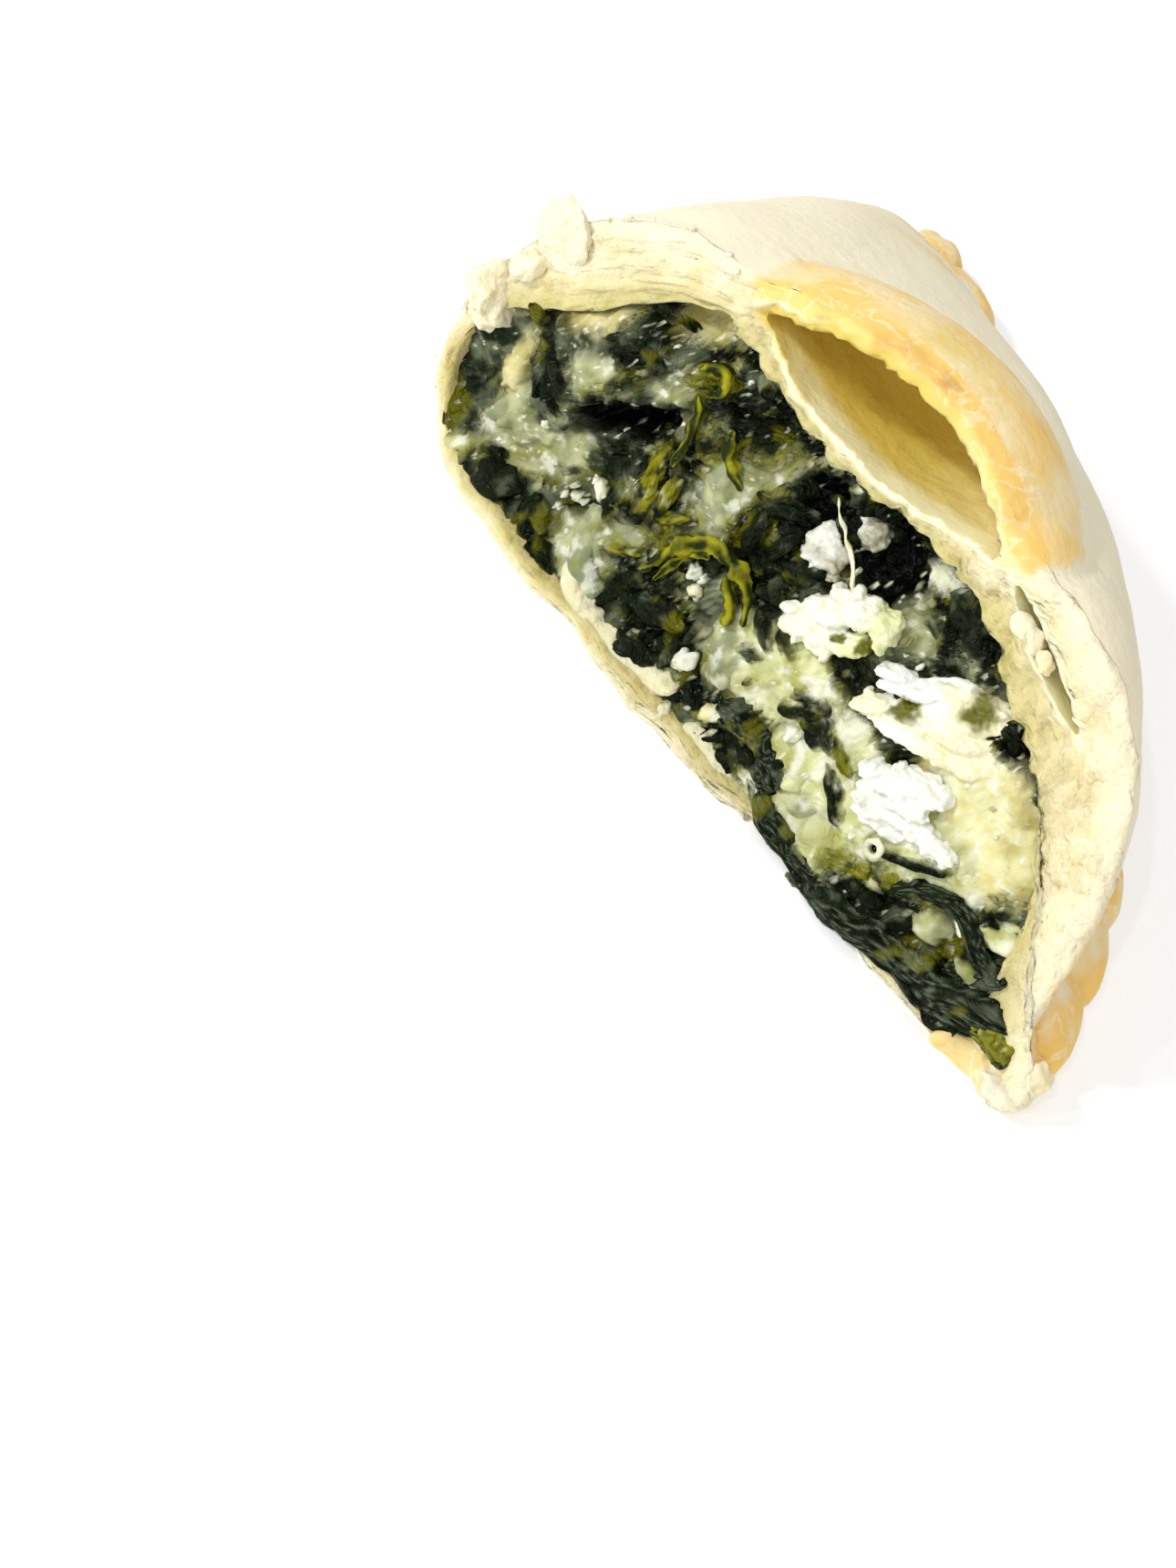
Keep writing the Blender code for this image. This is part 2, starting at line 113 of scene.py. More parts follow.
# Blisters: plan centre and half sizes of the hollow, and rise of the skin
LARGE_BLISTER = ((29.5, 14), (14.2, 9.2), 5.2)
SMALL_BLISTER = ((49.5, 11), (5.6, 5), 1.2)
BLISTER_SKIRT = 2.4                 # how far the raised skin runs out past the hollow
BLISTER_BACK = 1                    # how far behind the hollow's middle the skin rises most
BLISTER_HEIGHTS = (21.5, 23.5)      # heights between which the crust starts to follow them
LIP_THICKNESS = 0.6
SMALL_HOLLOW_HEIGHT = 1.5
MOUTH = 9                           # y of the hollows' mouths, where the heights below hold
LARGE_FLOOR = (24.5, 25.6, 0.011, 0.10)  # height, x of its lowest place, bowl, fall to the back
SMALL_FLOOR = (25.0, 49, 0.42, 0.25)     # height, x of its middle, fall to +X, fall to the back
GOLDEN_CAP = (29, 13.5, 16.5, 10.8)      # plan place and half sizes of the golden skin

# Filling
FILLING_SET_BACK = 1.6
MIXTURE_WIDTH = (-4.0, 68.0)
MIXTURE_HEIGHT = (0.5, 28.5)
MIXTURE_BACK = 95
FACE_STEP = 0.17                    # spacing of the points on the torn face of the mixture
WALL_OVERLAP = 0.3                  # how far the mixture sinks into the crust


def smooth(t):
    t = np.clip(t, 0.0, 1.0)
    return t * t * (3 - 2 * t)


def ramp(value, low, high):
    """0 at low and 1 at high, with a smooth run between. It falls where low is the greater."""
    return smooth((value - low) / (high - low))


def quarter(t):
    """A quarter of an ellipse: 0 at the fold's middle, 1 where its round ends."""
    return np.sqrt(1 - (1 - np.clip(t, 0, 1)) ** 2)


def grain(points, scale, seed=0.0, octaves=1):
    """Smooth noise at each point that changes over a distance of scale."""
    shift = Vector((1.7 * seed, -2.3 * seed, 0.9 * seed))
    places = (Vector(p) / scale + shift for p in points)
    return np.fromiter((noise.fractal(p, 1.0, 2.0, octaves) for p in places), float, len(points))


def stack(*columns):
    return np.stack(columns, -1)


def blend(first, second, share):
    """Colours from the first to the second, by each point's share of the second."""
    return first + (np.array(second) - first) * share[:, None]


def spin(right, up, degrees):
    """Places on the torn face, turned by an angle."""
    angle = math.radians(degrees)
    cos, sin = math.cos(angle), math.sin(angle)
    return right * cos - up * sin, right * sin + up * cos


def waves(phase, power=1.0):
    """Round ridges from 0 to 1 with sharp valleys between them, one for each 1 of the phase."""
    return np.abs(np.sin(math.pi * phase)) ** power


# Making and shaping pieces

def values_of(layer, key, width):
    flat = np.empty(len(layer) * width, np.float32)
    layer.foreach_get(key, flat)
    return flat.reshape(-1, width).astype(float)


def points_of(piece):
    return values_of(piece.data.vertices, "co", 3)


def normals_of(piece):
    return values_of(piece.data.vertices, "normal", 3)


def plan_points(piece):
    return (points_of(piece) - PLAN_ORIGIN) / MM


def place(piece, points):
    """Gives a piece's vertices their plan places."""
    flat = (np.asarray(points) * MM + PLAN_ORIGIN).astype(np.float32)
    piece.data.vertices.foreach_set("co", flat.ravel())
    piece.data.update()


def grid(name, across, up):
    """A new flat sheet, and how far each of its points is across and up it, from 0 to 1."""
    bpy.ops.mesh.primitive_grid_add(x_subdivisions=across, y_subdivisions=up, size=2)
    piece = bpy.context.object
    piece.name = piece.data.name = name
    flat = points_of(piece)
    return piece, (flat[:, 0] + 1) / 2, (flat[:, 1] + 1) / 2


def tube(name, points):
    """A closed tube from points in rows round it and columns along it, and each one's column."""
    rows, columns = points.shape[:2]
    piece, across, up = grid(name, columns - 1, rows)
    column = np.round(across * (columns - 1)).astype(int)
    row = np.round(up * rows).astype(int) % rows
    place(piece, points[row, column])
    return piece, column


def edit(piece, *steps):
    """Runs edit-mode operators on the whole of a piece."""
    bpy.ops.object.select_all(action="DESELECT")
    piece.select_set(True)
    bpy.context.view_layer.objects.active = piece
    bpy.ops.object.mode_set(mode="EDIT")
    bpy.ops.mesh.select_all(action="SELECT")
    for step in steps:
        step()
    bpy.ops.object.mode_set(mode="OBJECT")


def close_ends():
    bpy.ops.mesh.fill_holes(sides=0)
    bpy.ops.mesh.select_all(action="SELECT")


def face_outwards():
    bpy.ops.mesh.normals_make_consistent(inside=False)


def merge():
    bpy.ops.mesh.remove_doubles(threshold=0.00002)


def modify(piece, kind, **settings):
    step = piece.modifiers.new(kind.lower(), kind)
    for key, value in settings.items():
        setattr(step, key, value)
    bpy.context.view_layer.objects.active = piece
    bpy.ops.object.modifier_apply(modifier=step.name)


def combine(piece, other, operation):
    modify(piece, "BOOLEAN", operation=operation, solver="MANIFOLD", object=other)
    bpy.data.objects.remove(other)


def join(name, pieces):
    bpy.ops.object.select_all(action="DESELECT")
    for piece in pieces:
        piece.select_set(True)
    bpy.context.view_layer.objects.active = pieces[0]
    bpy.ops.object.join()
    piece = bpy.context.object
    piece.name = piece.data.name = name
    return piece


def mark(piece, name, values):
    """Stores a number for each vertex, or one for all, for the finish to read."""
    layers = piece.data.attributes
    layer = layers.get(name) or layers.new(name, "FLOAT", "POINT")
    layer.data.foreach_set("value", np.broadcast_to(values, len(layer.data)).astype(np.float32))


def read_mark(piece, name):
    return values_of(piece.data.attributes[name].data, "value", 1)[:, 0]


def paint(piece, colours):
    """Stores the colour of each vertex, for the finish to read."""
    layers = piece.data.color_attributes
    layer = layers.get("mix") or layers.new("mix", "FLOAT_COLOR", "POINT")
    full = np.concatenate([colours, np.ones((len(colours), 1))], axis=1)
    layer.data.foreach_set("color", full.astype(np.float32).ravel())


def finish_piece(piece, finish, slot, *nodes):
    """Finishes a piece and fixes it to the half."""
    piece.data.materials.clear()
    piece.data.materials.append(finish)
    piece.data.shade_smooth()
    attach(piece, "root")
    if nodes:
        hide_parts(*nodes)


# Form of the crust

def rim_radius(k):
    return RADIUS - RIM_FLATTENING * np.sin(np.pi * k ** 1.3)


def rib(k):
    """Plan places of the fold and of the rim at station k."""
    k = np.maximum(k, 0)
    radius, turn = rim_radius(k), k * math.pi / 2
    fold = stack(-FOLD_BULGE * (1 - k).clip(0) ** 1.5, k * (RADIUS - TIP_CORNER))
    return fold, stack(radius * np.cos(turn), radius * np.sin(turn))


def rib_length(k):
    fold, edge = rib(k)
    return np.linalg.norm(edge - fold, axis=-1)


def foot(k):
    """The share of a rib where the dome meets the pinched edge."""
    width = EDGE_WIDTH + (EDGE_WIDTH_AT_TEAR - EDGE_WIDTH) * ramp(k, EDGE_RUN, 0)
    return 1 - width / rib_length(k)


def fold_middle(k):
    middle = EDGE_THICKNESS / 2
    return middle + (FOLD_MIDDLE - middle) * (1 - k.clip(0, 1) ** 1.8) ** 0.9


def dome_height(k):
    return EDGE_THICKNESS + (DOME_HEIGHT - EDGE_THICKNESS) * (1 - k.clip(0, 1) ** 2.2) ** 1.08


def crust_height(k, s):
    boxiness = BOXINESS_AT_TIP + (BOXINESS - BOXINESS_AT_TIP) * (1 - k.clip(0, 1)) ** 2.4
    return EDGE_THICKNESS + (dome_height(k) - EDGE_THICKNESS) * (1 - s.clip(0, 1) ** boxiness)


def fold_round(k, s):
    """Height of the crust's top, which rises in a round from the middle of the fold."""
    middle = fold_middle(k)
    return middle + (crust_height(k, s) - middle) * quarter(s / ROUND_OVER)


def lean(k, z):
    """How far the crust is pushed back at height z, so that its torn face leans."""
    return z * TEAR_LEAN * (1 - k.clip(0, 1)) ** 3


def blister_rise(x, y, blister):
    (cx, cy), (a, b), rise = blister
    u, v = (x - cx) / (a + BLISTER_SKIRT), (y - cy - BLISTER_BACK) / (b + BLISTER_SKIRT)
    return rise * (1 - u * u - v * v).clip(0) ** 0.9


def pinch(k, s):
    """Height of the pinches from 0 to 1: each swells fast from its crease and falls slowly."""
    phase = (CRIMPS * k + CRIMP_SLANT * (s - 1) + 0.16 * np.sin(4.2 * (s - 1)) + 0.3) % 1
    return np.sin(np.pi * phase ** 0.62) ** 0.8 * ramp(k, 1, 0.97)


def outer_skin(k, over, s):
    """Points on the outside of the crust."""
    fold, edge = rib(k)
    band = (s - 1).clip(0)
    ridge = pinch(k, s)
    share = foot(k) * s.clip(0, 1) + (1 - foot(k)) * band
    out = edge / np.linalg.norm(edge, axis=-1)[..., None]
    plan = fold + (edge - fold) * share[..., None]
    plan = plan + out * (CRIMP_SCALLOP * (ridge - 0.5) * band)[..., None]
    rim_round = 1 - np.sqrt(1 - ((band - 0.55) / 0.45).clip(0, 1) ** 2)
    rim_middle = 0.42 * EDGE_THICKNESS
    under = fold_middle(k) * (1 - quarter(s / ROUND_UNDER)) + rim_middle * rim_round
    swell = CRIMP_RISE * (ridge - 0.45) * ramp(s, EDGE_START, 1.15)
    top = fold_round(k, s) + swell * (1 - 0.45 * band)
    top = top - 0.9 * band + (rim_middle - top + 0.9 * band) * rim_round
    return stack(plan[..., 0], plan[..., 1], np.where(over, top, under))


def inner_wall(k, over, s, gap=0.0):
    """Points on the wall of the room that holds the filling, drawn in by gap."""
    fold, edge = rib(k)
    width = rib_length(k)
    near, far_end = (SIDE_WALL + gap) / width, foot(k) - CAVITY_END - gap / width
    reach = 0.88 * s.clip(0, 1) + 0.12 * (s - 1).clip(0)
    share = near + (far_end - near) * reach
    plan = fold + (edge - fold) * share[..., None]
    sag = SAG_DEPTH * np.exp(-((plan[..., 0] - LARGE_BLISTER[0][0] + 3) / SAG_WIDTH) ** 2)
    for thick_x, thick_width, extra in (THICK_PLACE, SHOULDER):
        sag = sag + extra * np.exp(-((plan[..., 0] - thick_x) / thick_width) ** 2)
    low = BOTTOM_WALL + (BOTTOM_WALL_AT_TEAR - BOTTOM_WALL) * ramp(k.clip(0), 0.2, 0) + gap
    high = crust_height(k, share / foot(k)) - TOP_WALL - sag * smooth(1.4 - 2.4 * k.clip(0)) - gap
    room = np.maximum(high - low, 0.6) * np.sqrt(1 - reach ** 8 * 0.96)
    middle = low + room * (fold_middle(k) - low) / np.maximum(dome_height(k) - TOP_WALL - low, 4)
    top = middle + (low + room - middle) * quarter((share - near) / (ROUND_OVER - near))
    under = middle - (middle - low) * quarter((share - near) / (ROUND_UNDER - near * 0.5))
    z = np.where(over, top, under)
    return stack(plan[..., 0], plan[..., 1] + lean(k, z), z)


def section(under_steps, fold_steps, top_steps, edge_steps):
    """Whether each point round a section lies over the fold's middle, and its s."""
    under = np.concatenate([2 - np.linspace(0, 1, edge_steps // 2) ** 1.6,
                            np.linspace(1, ROUND_UNDER, under_steps)[1:],
                            ROUND_UNDER * (1 - np.sin(np.linspace(0, 1.5, fold_steps)[1:]))])
    top = np.concatenate([ROUND_OVER * (1 - np.cos(np.linspace(0, math.pi / 2, fold_steps * 2))),
                          np.linspace(ROUND_OVER, EDGE_START, top_steps)[1:],
                          np.linspace(EDGE_START, 1, edge_steps)[1:],
                          np.linspace(1, 1.9, edge_steps)[1:], (1.94, 1.975)])
    over = np.concatenate([np.zeros(len(under), bool), np.ones(len(top), bool)])
    return over, np.concatenate([under, top])


def sweep(shape, stations, steps, **settings):
    """Points of the outer skin or the inner wall: a row for each point round its sections."""
    over, s = (values[:, None] for values in section(*steps))
    return shape(*np.broadcast_arrays(stations[None], over, s), **settings)


# Pastry

CRUST_STEPS = (26, 9, 80, 28)       # under, round the fold, on top and over the pinched edge
INNER_COLUMNS = 50
RIM_COLUMNS = 26
DENSE_COLUMNS = 26                  # columns of the outer skin next to the rim
SKIN_COLUMNS = 260                  # columns of the rest of the outer skin
TIP_COLUMNS = 5
FADE_COLUMNS = 10                   # columns of the outer skin over which the torn look fades
RIM_ROUND = 0.007                   # how far along the crust its torn rim rounds over
DENSE_END = 0.04                    # how far along the crust the dense columns run


def round_rim(inner, outer):
    """Torn rim from the inner wall to the outer skin, where it rounds over."""
    t = np.linspace(0, 1, RIM_COLUMNS + 2)[1:-1, None]
    rim = inner[:, None] * (1 - t) + outer[:, None] * t
    back = outer[:, 1] - outer[:, 2] * TEAR_LEAN
    rounded = 1 - np.sqrt(1 - ((t[:, 0] - 0.8) / 0.2).clip(0, 1) ** 2)
    rim[..., 1] = rim[..., 2] * TEAR_LEAN + back[:, None] * rounded
    return rim


def round_tip(end):
    """Rounded far tip of the half, beyond the last section of the outer skin."""
    middle = end.mean(0)
    centre = middle + (end - middle) * (1, 0.6, 0)
    t = np.linspace(0, 0.9, TIP_COLUMNS + 1)[1:]
    tip = centre[:, None] + (end - centre)[:, None] * np.sqrt(1 - t[:, None] ** 2)
    along_tip = (end[:, 1:2] - end[:, 1].min()) / np.ptp(end[:, 1])
    tip[..., 0] -= t * smooth(1.4 * along_tip - 0.2)
    return tip


def build_crust():
    """The crust as one closed tube: inner wall, torn rim, outer skin and the far tip."""
    inner_k = CAVITY_BACK * (1 - np.linspace(0, 1, INNER_COLUMNS)) ** 1.2
    outer_k = np.concatenate([np.linspace(RIM_ROUND, DENSE_END, DENSE_COLUMNS),
                              np.linspace(DENSE_END + 0.003, 1, SKIN_COLUMNS)])
    inner, outer = sweep(inner_wall, inner_k, CRUST_STEPS), sweep(outer_skin, outer_k, CRUST_STEPS)
    outer[..., 1] += lean(outer_k[None], outer[..., 2])
    rim, tip = round_rim(inner[:, -1], outer[:, 0]), round_tip(outer[:, -1])
    crust, column = tube("baked_crust", np.concatenate([inner, rim, outer, tip], axis=1))
    # From 0 at the inner wall to 1 at the outer skin, and on over the first columns of the skin
    t = (column - INNER_COLUMNS + 1) / (RIM_COLUMNS + 1)
    t = np.where(t > 1, 1 + (column - INNER_COLUMNS - RIM_COLUMNS) / FADE_COLUMNS, t)
    mark(crust, "torn", ramp(t, 1.12, 0.92))
    mark(crust, "corner", ramp(t, 0.55, 1) * ramp(t, 1.5, 1.1))
    mark(crust, "moist", ramp(t, 0.6, 0))
    edit(crust, merge, close_ends, face_outwards)
    return crust


def skin_height(x, y):
    """Height of the dome's outer skin over the middle of the crust, near the tear."""
    rises = (blister_rise(x, y, b) for b in (LARGE_BLISTER, SMALL_BLISTER))
    k = ((y - DOME_HEIGHT * TEAR_LEAN) / (RADIUS * 1.2)).clip(0, 1)
    s = (x / (RADIUS - EDGE_WIDTH_AT_TEAR)).clip(0, 1)
    return fold_round(k, s) + sum(rises)


def large_floor(x, y):
    height, lowest_x, bowl, fall = LARGE_FLOOR
    return height + bowl * (x - lowest_x) ** 2 - fall * (y - MOUTH)


def large_ceiling(x, y):
    return np.maximum(skin_height(x, y) - LIP_THICKNESS, large_floor(x, y) + 0.3)


def small_floor(x, y):
    height, middle_x, slope, fall = SMALL_FLOOR
    return height - slope * (x - middle_x) - fall * (y - MOUTH)


def small_ceiling(x, y):
    return small_floor(x, y) + SMALL_HOLLOW_HEIGHT


HOLLOWS = ((LARGE_BLISTER, large_floor, large_ceiling), (SMALL_BLISTER, small_floor, small_ceiling))


def hollow_cutter(blister, floor, ceiling, rings=72):
    """A cutter for the hollow of a blister, between its floor and ceiling."""
    (cx, cy), (a, b), _ = blister
    bpy.ops.mesh.primitive_uv_sphere_add(segments=rings * 2, ring_count=rings, radius=1)
    cutter = bpy.context.object
    unit = points_of(cutter)
    rough = 1 + 0.05 * grain(unit, 0.5, 3.0, 2)
    x, y = cx + a * unit[:, 0] * rough, cy + b * unit[:, 1] * rough
    low, high = floor(x, y), ceiling(x, y)
    height = np.sign(unit[:, 2]) * np.abs(unit[:, 2]) ** 0.8
    z = (low + high) / 2 + (high - low) / 2 * height
    z += 0.12 * grain(stack(x, y, z), 2.6, 4.0, 3)
    place(cutter, stack(x, y, z))
    return cutter


def build_pastry():
    crust = build_crust()
    torn, corner = read_mark(crust, "torn"), read_mark(crust, "corner")
    points, normals = plan_points(crust), normals_of(crust)
    x, y, z = points.T
    away = y - z * TEAR_LEAN
    near = (1 - away / RAGGED_RUN).clip(0, 1)
    # The ragged tear, its fine lip over the large blister, and the bottom crust that stands out
    coarse = RAGGED * (grain(points, 6, 3.0) + 0.7 * grain(points, 2.4, 8.0))
    fine = CRUMBLE * (grain(points, 1.2, 5.0, 3) + 0.6 * torn * grain(points, 0.5, 6.0, 2))
    points[:, 1] += (coarse + fine) * near
    lip = ramp(z, 25, 27) * ramp(x, 13, 17) * ramp(x, 45, 41)
    points[:, 1] += LIP_RELIEF * lip * grain(points * (1, 0.3, 0.3), 0.7, 9.0, 3) * near
    forward = ramp(z, 3.2, 0.7) * ramp(x, 0, 6) * ramp(x, 44, 34)
    points[:, 1] -= BOTTOM_FORWARD * forward * near
    skin = np.maximum(1 - torn, corner)
    for blister in (LARGE_BLISTER, SMALL_BLISTER):
        points[:, 2] += blister_rise(x, y, blister) * ramp(z, *BLISTER_HEIGHTS) * skin
    # The rough inside, and the uneven outer skin
    inside = INSIDE_RELIEF * (grain(points, 2.4, 12.0, 3) + 0.5 * grain(points, 0.9, 13.0, 3))
    thick = ramp(z, 1, 5) * ramp(x, 67, 57)
    points += normals * (inside * near * torn * thick * (1 - corner))[:, None]
    swell = SKIN_SWELL * grain(points, 11, 1.0) * ramp(away, -1, 5) * ramp(z, 4, 9)
    points += normals * swell[:, None]
    points += normals * (SKIN_RELIEF * grain(points, 2.4, 2.0, 2) * ramp(z, 1, 3))[:, None]
    place(crust, points)
    for hollow in HOLLOWS:
        combine(crust, hollow_cutter(*hollow), "DIFFERENCE")
    mark_crust(crust)
    return crust


def in_hollow(points, blister, floor, ceiling):
    """1 for points on the wall of a hollow and inside it, 0 further off."""
    (cx, cy), (a, b), _ = blister
    x, y, z = points.T
    low, high = floor(x, y), ceiling(x, y)
    w = (z - (low + high) / 2) / ((high - low) / 2 + 0.35)
    reach = np.sqrt(((x - cx) / (a + 0.5)) ** 2 + ((y - cy) / (b + 0.5)) ** 2 + np.abs(w) ** 2.5)
    return ramp(reach, 1.12, 1.02)


def mark_crust(crust):
    """Where the dough is the wall of a blister, where that wall has painted light and shade, and
    how brown it is.
    """
    points = plan_points(crust)
    x, y, z = points.T
    away = y - z * TEAR_LEAN
    pocket = np.maximum(*(in_hollow(points, *hollow) for hollow in HOLLOWS))
    # Painted light on the hollow's floor by its mouth and towards +X; elsewhere the wall stays
    # golden, darker as painted shade deep inside.
    floor = ramp(z - large_floor(x, y), 1.7, 0.3) * ramp(away, 5, 2)
    pale = np.maximum(0.6 * ramp(x, 28, 43), floor)
    rim = rim_radius((np.arctan2(y, x) / (math.pi / 2)).clip(0, 1))
    edge = ramp(np.hypot(x, y) - rim + EDGE_WIDTH, -2.5, 1.5)
    patches = ramp(grain(points, 13, 14.0, 2), 0.02, 0.27) * (1 - 0.6 * ramp(z, 20, 25))
    cap_x, cap_y, cap_a, cap_b = GOLDEN_CAP
    reach = np.hypot((x - cap_x) / cap_a, (y - cap_y) / cap_b) + 0.08 * grain(points, 3, 18.0, 3)
    cap = ramp(reach, 1.04, 0.94) * ramp(z - skin_height(x, y), -1.5, -0.7)
    lip = cap * ramp(away, 1.6, 0.2)
    underside = ramp(z, 1.6, 0.1)
    bake = np.maximum.reduce([
        0.75 * edge * (0.7 + 0.6 * grain(points, 3, 17.0, 2)), 0.5 * patches,
        cap * (0.56 + 0.2 * grain(points, 4, 19.0, 2)), 0.85 * lip, 0.8 * underside])
    for name, share in (("torn", 0.9), ("corner", 1.0)):
        mark(crust, name, read_mark(crust, name) * (1 - share * lip))
    mark(crust, "pocket", pocket)
    mark(crust, "pale", pale)
    mark(crust, "bake", bake.clip(0, 1))


# Scraps of dough

# Lumps of dough at the tear: centre, half sizes, turn about the tear and how brown
DOUGH_LUMPS = [
    ((-1.3, 7.3, 20.2), (2.7, 1.0, 3.4), -37, 0.0),
    ((-3.9, 5.2, 12.6), (1.9, 2.2, 2.9), -35, 0.0),
    ((-2.6, 6.4, 16.4), (1.6, 1.7, 1.3), -35, 0.0),
    ((46.6, 9.6, 26.0), (1.1, 0.9, 0.8), 20, 0.3), ((47.8, 9.5, 25.8), (1.0, 0.8, 0.7), 40, 0.3),
    ((49.4, 9.3, 25.3), (0.9, 0.7, 0.6), 30, 0.35), ((70.8, 1.0, 1.3), (2.1, 1.5, 1.0), 0, 0.15),
    ((71.8, 2.4, 3.2), (1.3, 1.4, 1.3), 30, 0.35),
]
# Torn flaps of the bottom crust: path of x and z, half width, how proud and how brown
DOUGH_FLAPS = [
    ([(16.2, 2.9), (18.8, 1.6), (22.8, 0.8), (26.8, 1.1), (30.7, 2.5)], 1.2, 0.9, 0.0),
    ([(29.2, -1.1), (30.9, 0.0), (31.0, 1.6)], 0.8, 1.0, 0.0),
    ([(33.0, 1.5), (35.4, 1.0), (38.4, 0.6), (42.0, 0.1)], 0.9, 0.5, 0.0),
    ([(64.3, 1.2), (67.0, 0.9), (69.1, 1.1), (71.2, 1.4)], 1.3, 0.6, 0.55),
]
RIM_CRUMBS = 150                    # crumbs strewn on the rim, of which the clear part is kept
DOUGH_MARKS = ("torn", "corner", "moist", "pocket", "pale", "bake")


def dress_dough(piece, corner, bake, moist=0.0):
    for name, value in zip(DOUGH_MARKS, (1 - smooth(bake * 3), corner, moist, 0, 0, bake)):
        mark(piece, name, value)


def turned(points, degrees):
    """Points turned about the line from the tear to the back."""
    return points @ np.array(Matrix.Rotation(math.radians(degrees), 3, "Y")).T


def build_dough_lump(centre, half_sizes, degrees, bake, seed, subdivisions=5):
    """A torn lump of dough, rough all over."""
    bpy.ops.mesh.primitive_ico_sphere_add(subdivisions=subdivisions, radius=1)
    lump = bpy.context.object
    unit = points_of(lump)
    local = unit * half_sizes * (1 + 0.3 * grain(unit, 0.9, seed, 2))[:, None]
    points = turned(local, degrees)
    rough = stack(*(grain(points, 2.2, seed + i, 3) for i in (2, 3, 4)))
    points += 0.25 * min(half_sizes) * rough
    points += centre
    points[:, 2] = points[:, 2].clip(0.1)
    place(lump, points)
    dress_dough(lump, 0.9, bake)
    return lump


def build_dough_scraps():
    """Lumps, curled flaps and crumbs of dough along the tear."""
    scraps = [build_dough_lump(*lump, 110.0 + 6 * i) for i, lump in enumerate(DOUGH_LUMPS)]
    for i, (path, half_width, proud, bake) in enumerate(DOUGH_FLAPS):
        flap, *_ = build_band("flap", path, half_width, proud, 160.0 + 9 * i, thickness=0.35,
                              ragged=0.4)
        dress_dough(flap, 0.4, bake, moist=0.3)
        scraps.append(flap)
    rng = np.random.default_rng(5)
    over, s = section(10, 9, 60, 12)
    chosen = rng.integers(0, len(s), RIM_CRUMBS)
    x, _, z = outer_skin(np.zeros(RIM_CRUMBS), over[chosen], s[chosen]).T
    for i in np.flatnonzero((x < 14) & (z > 3)):
        size = rng.uniform(0.16, 0.42)
        centre = (x[i] + rng.normal(0, 0.3), z[i] * TEAR_LEAN + rng.uniform(-0.5, 0.8),
                  max(z[i] - abs(rng.normal(0.1, 0.5)), size))
        scraps.append(build_dough_lump(centre, (size, 0.8 * size, 0.7 * size), 40.0 * i, 0.0,
                                       180.0 + i, subdivisions=2))
    return join("dough_scraps", scraps)


# Filling

# Each thing in the mixture: its darker and lighter colour, gloss, folds and crumbs
KINDS = {
    "leaf": ((0.001, 0.002, 0.001), (0.011, 0.019, 0.005), 1.0, 1.0, 0.0),
    "olive": ((0.030, 0.042, 0.003), (0.300, 0.285, 0.014), 0.9, 0.8, 0.0),
    "veil": ((0.010, 0.016, 0.008), (0.210, 0.240, 0.150), 0.9, 0.4, 0.1),
    "melt": ((0.210, 0.230, 0.105), (0.500, 0.510, 0.300), 0.9, 0.1, 0.1),
    "mash": ((0.440, 0.460, 0.190), (0.680, 0.690, 0.410), 0.6, 0.1, 0.5),
    "curd": ((0.600, 0.620, 0.430), (0.780, 0.790, 0.680), 0.4, 0.0, 0.8),
    "cream": ((0.640, 0.580, 0.260), (0.780, 0.740, 0.450), 0.6, 0.0, 0.3),
    "dough": ((0.420, 0.370, 0.130), (0.680, 0.640, 0.350), 0.6, 0.0, 0.2),
    # The near-black kind below is no thing of its own: it is painted shade, put in the deep gaps of
    # the mixture where only shadow shows.
    "shaded_hole": ((0.001, 0.002, 0.001), (0.004, 0.005, 0.003), 0.5, 0.4, 0.0),
}

# What stains each thing in the mixture: other kind, size of the blotches, seed, threshold, share
STAINS = {
    "leaf": [("olive", 2.6, 49, 0.26, 0.40), ("veil", 2.4, 50, 0.30, 0.35)],
    "olive": [("leaf", 1.6, 51, 0.02, 0.95), ("mash", 1.0, 52, 0.34, 0.50)],
    "veil": [("leaf", 3.0, 53, 0.00, 0.95), ("melt", 2.0, 54, 0.16, 0.55)],
    "melt": [("veil", 2.6, 55, 0.12, 0.60), ("curd", 1.4, 56, 0.26, 0.60),
             ("olive", 2.0, 57, 0.30, 0.40)],
    "mash": [("curd", 1.8, 58, 0.06, 0.70), ("olive", 2.4, 59, 0.16, 0.50),
             ("melt", 2.5, 60, 0.10, 0.60)],
    "curd": [("cream", 1.5, 61, 0.10, 0.50)],
    "cream": [("curd", 1.8, 62, 0.06, 0.70), ("mash", 2.2, 63, 0.12, 0.60)],
    "dough": [("cream", 2.0, 64, 0.10, 0.50)],
    "shaded_hole": [],
}
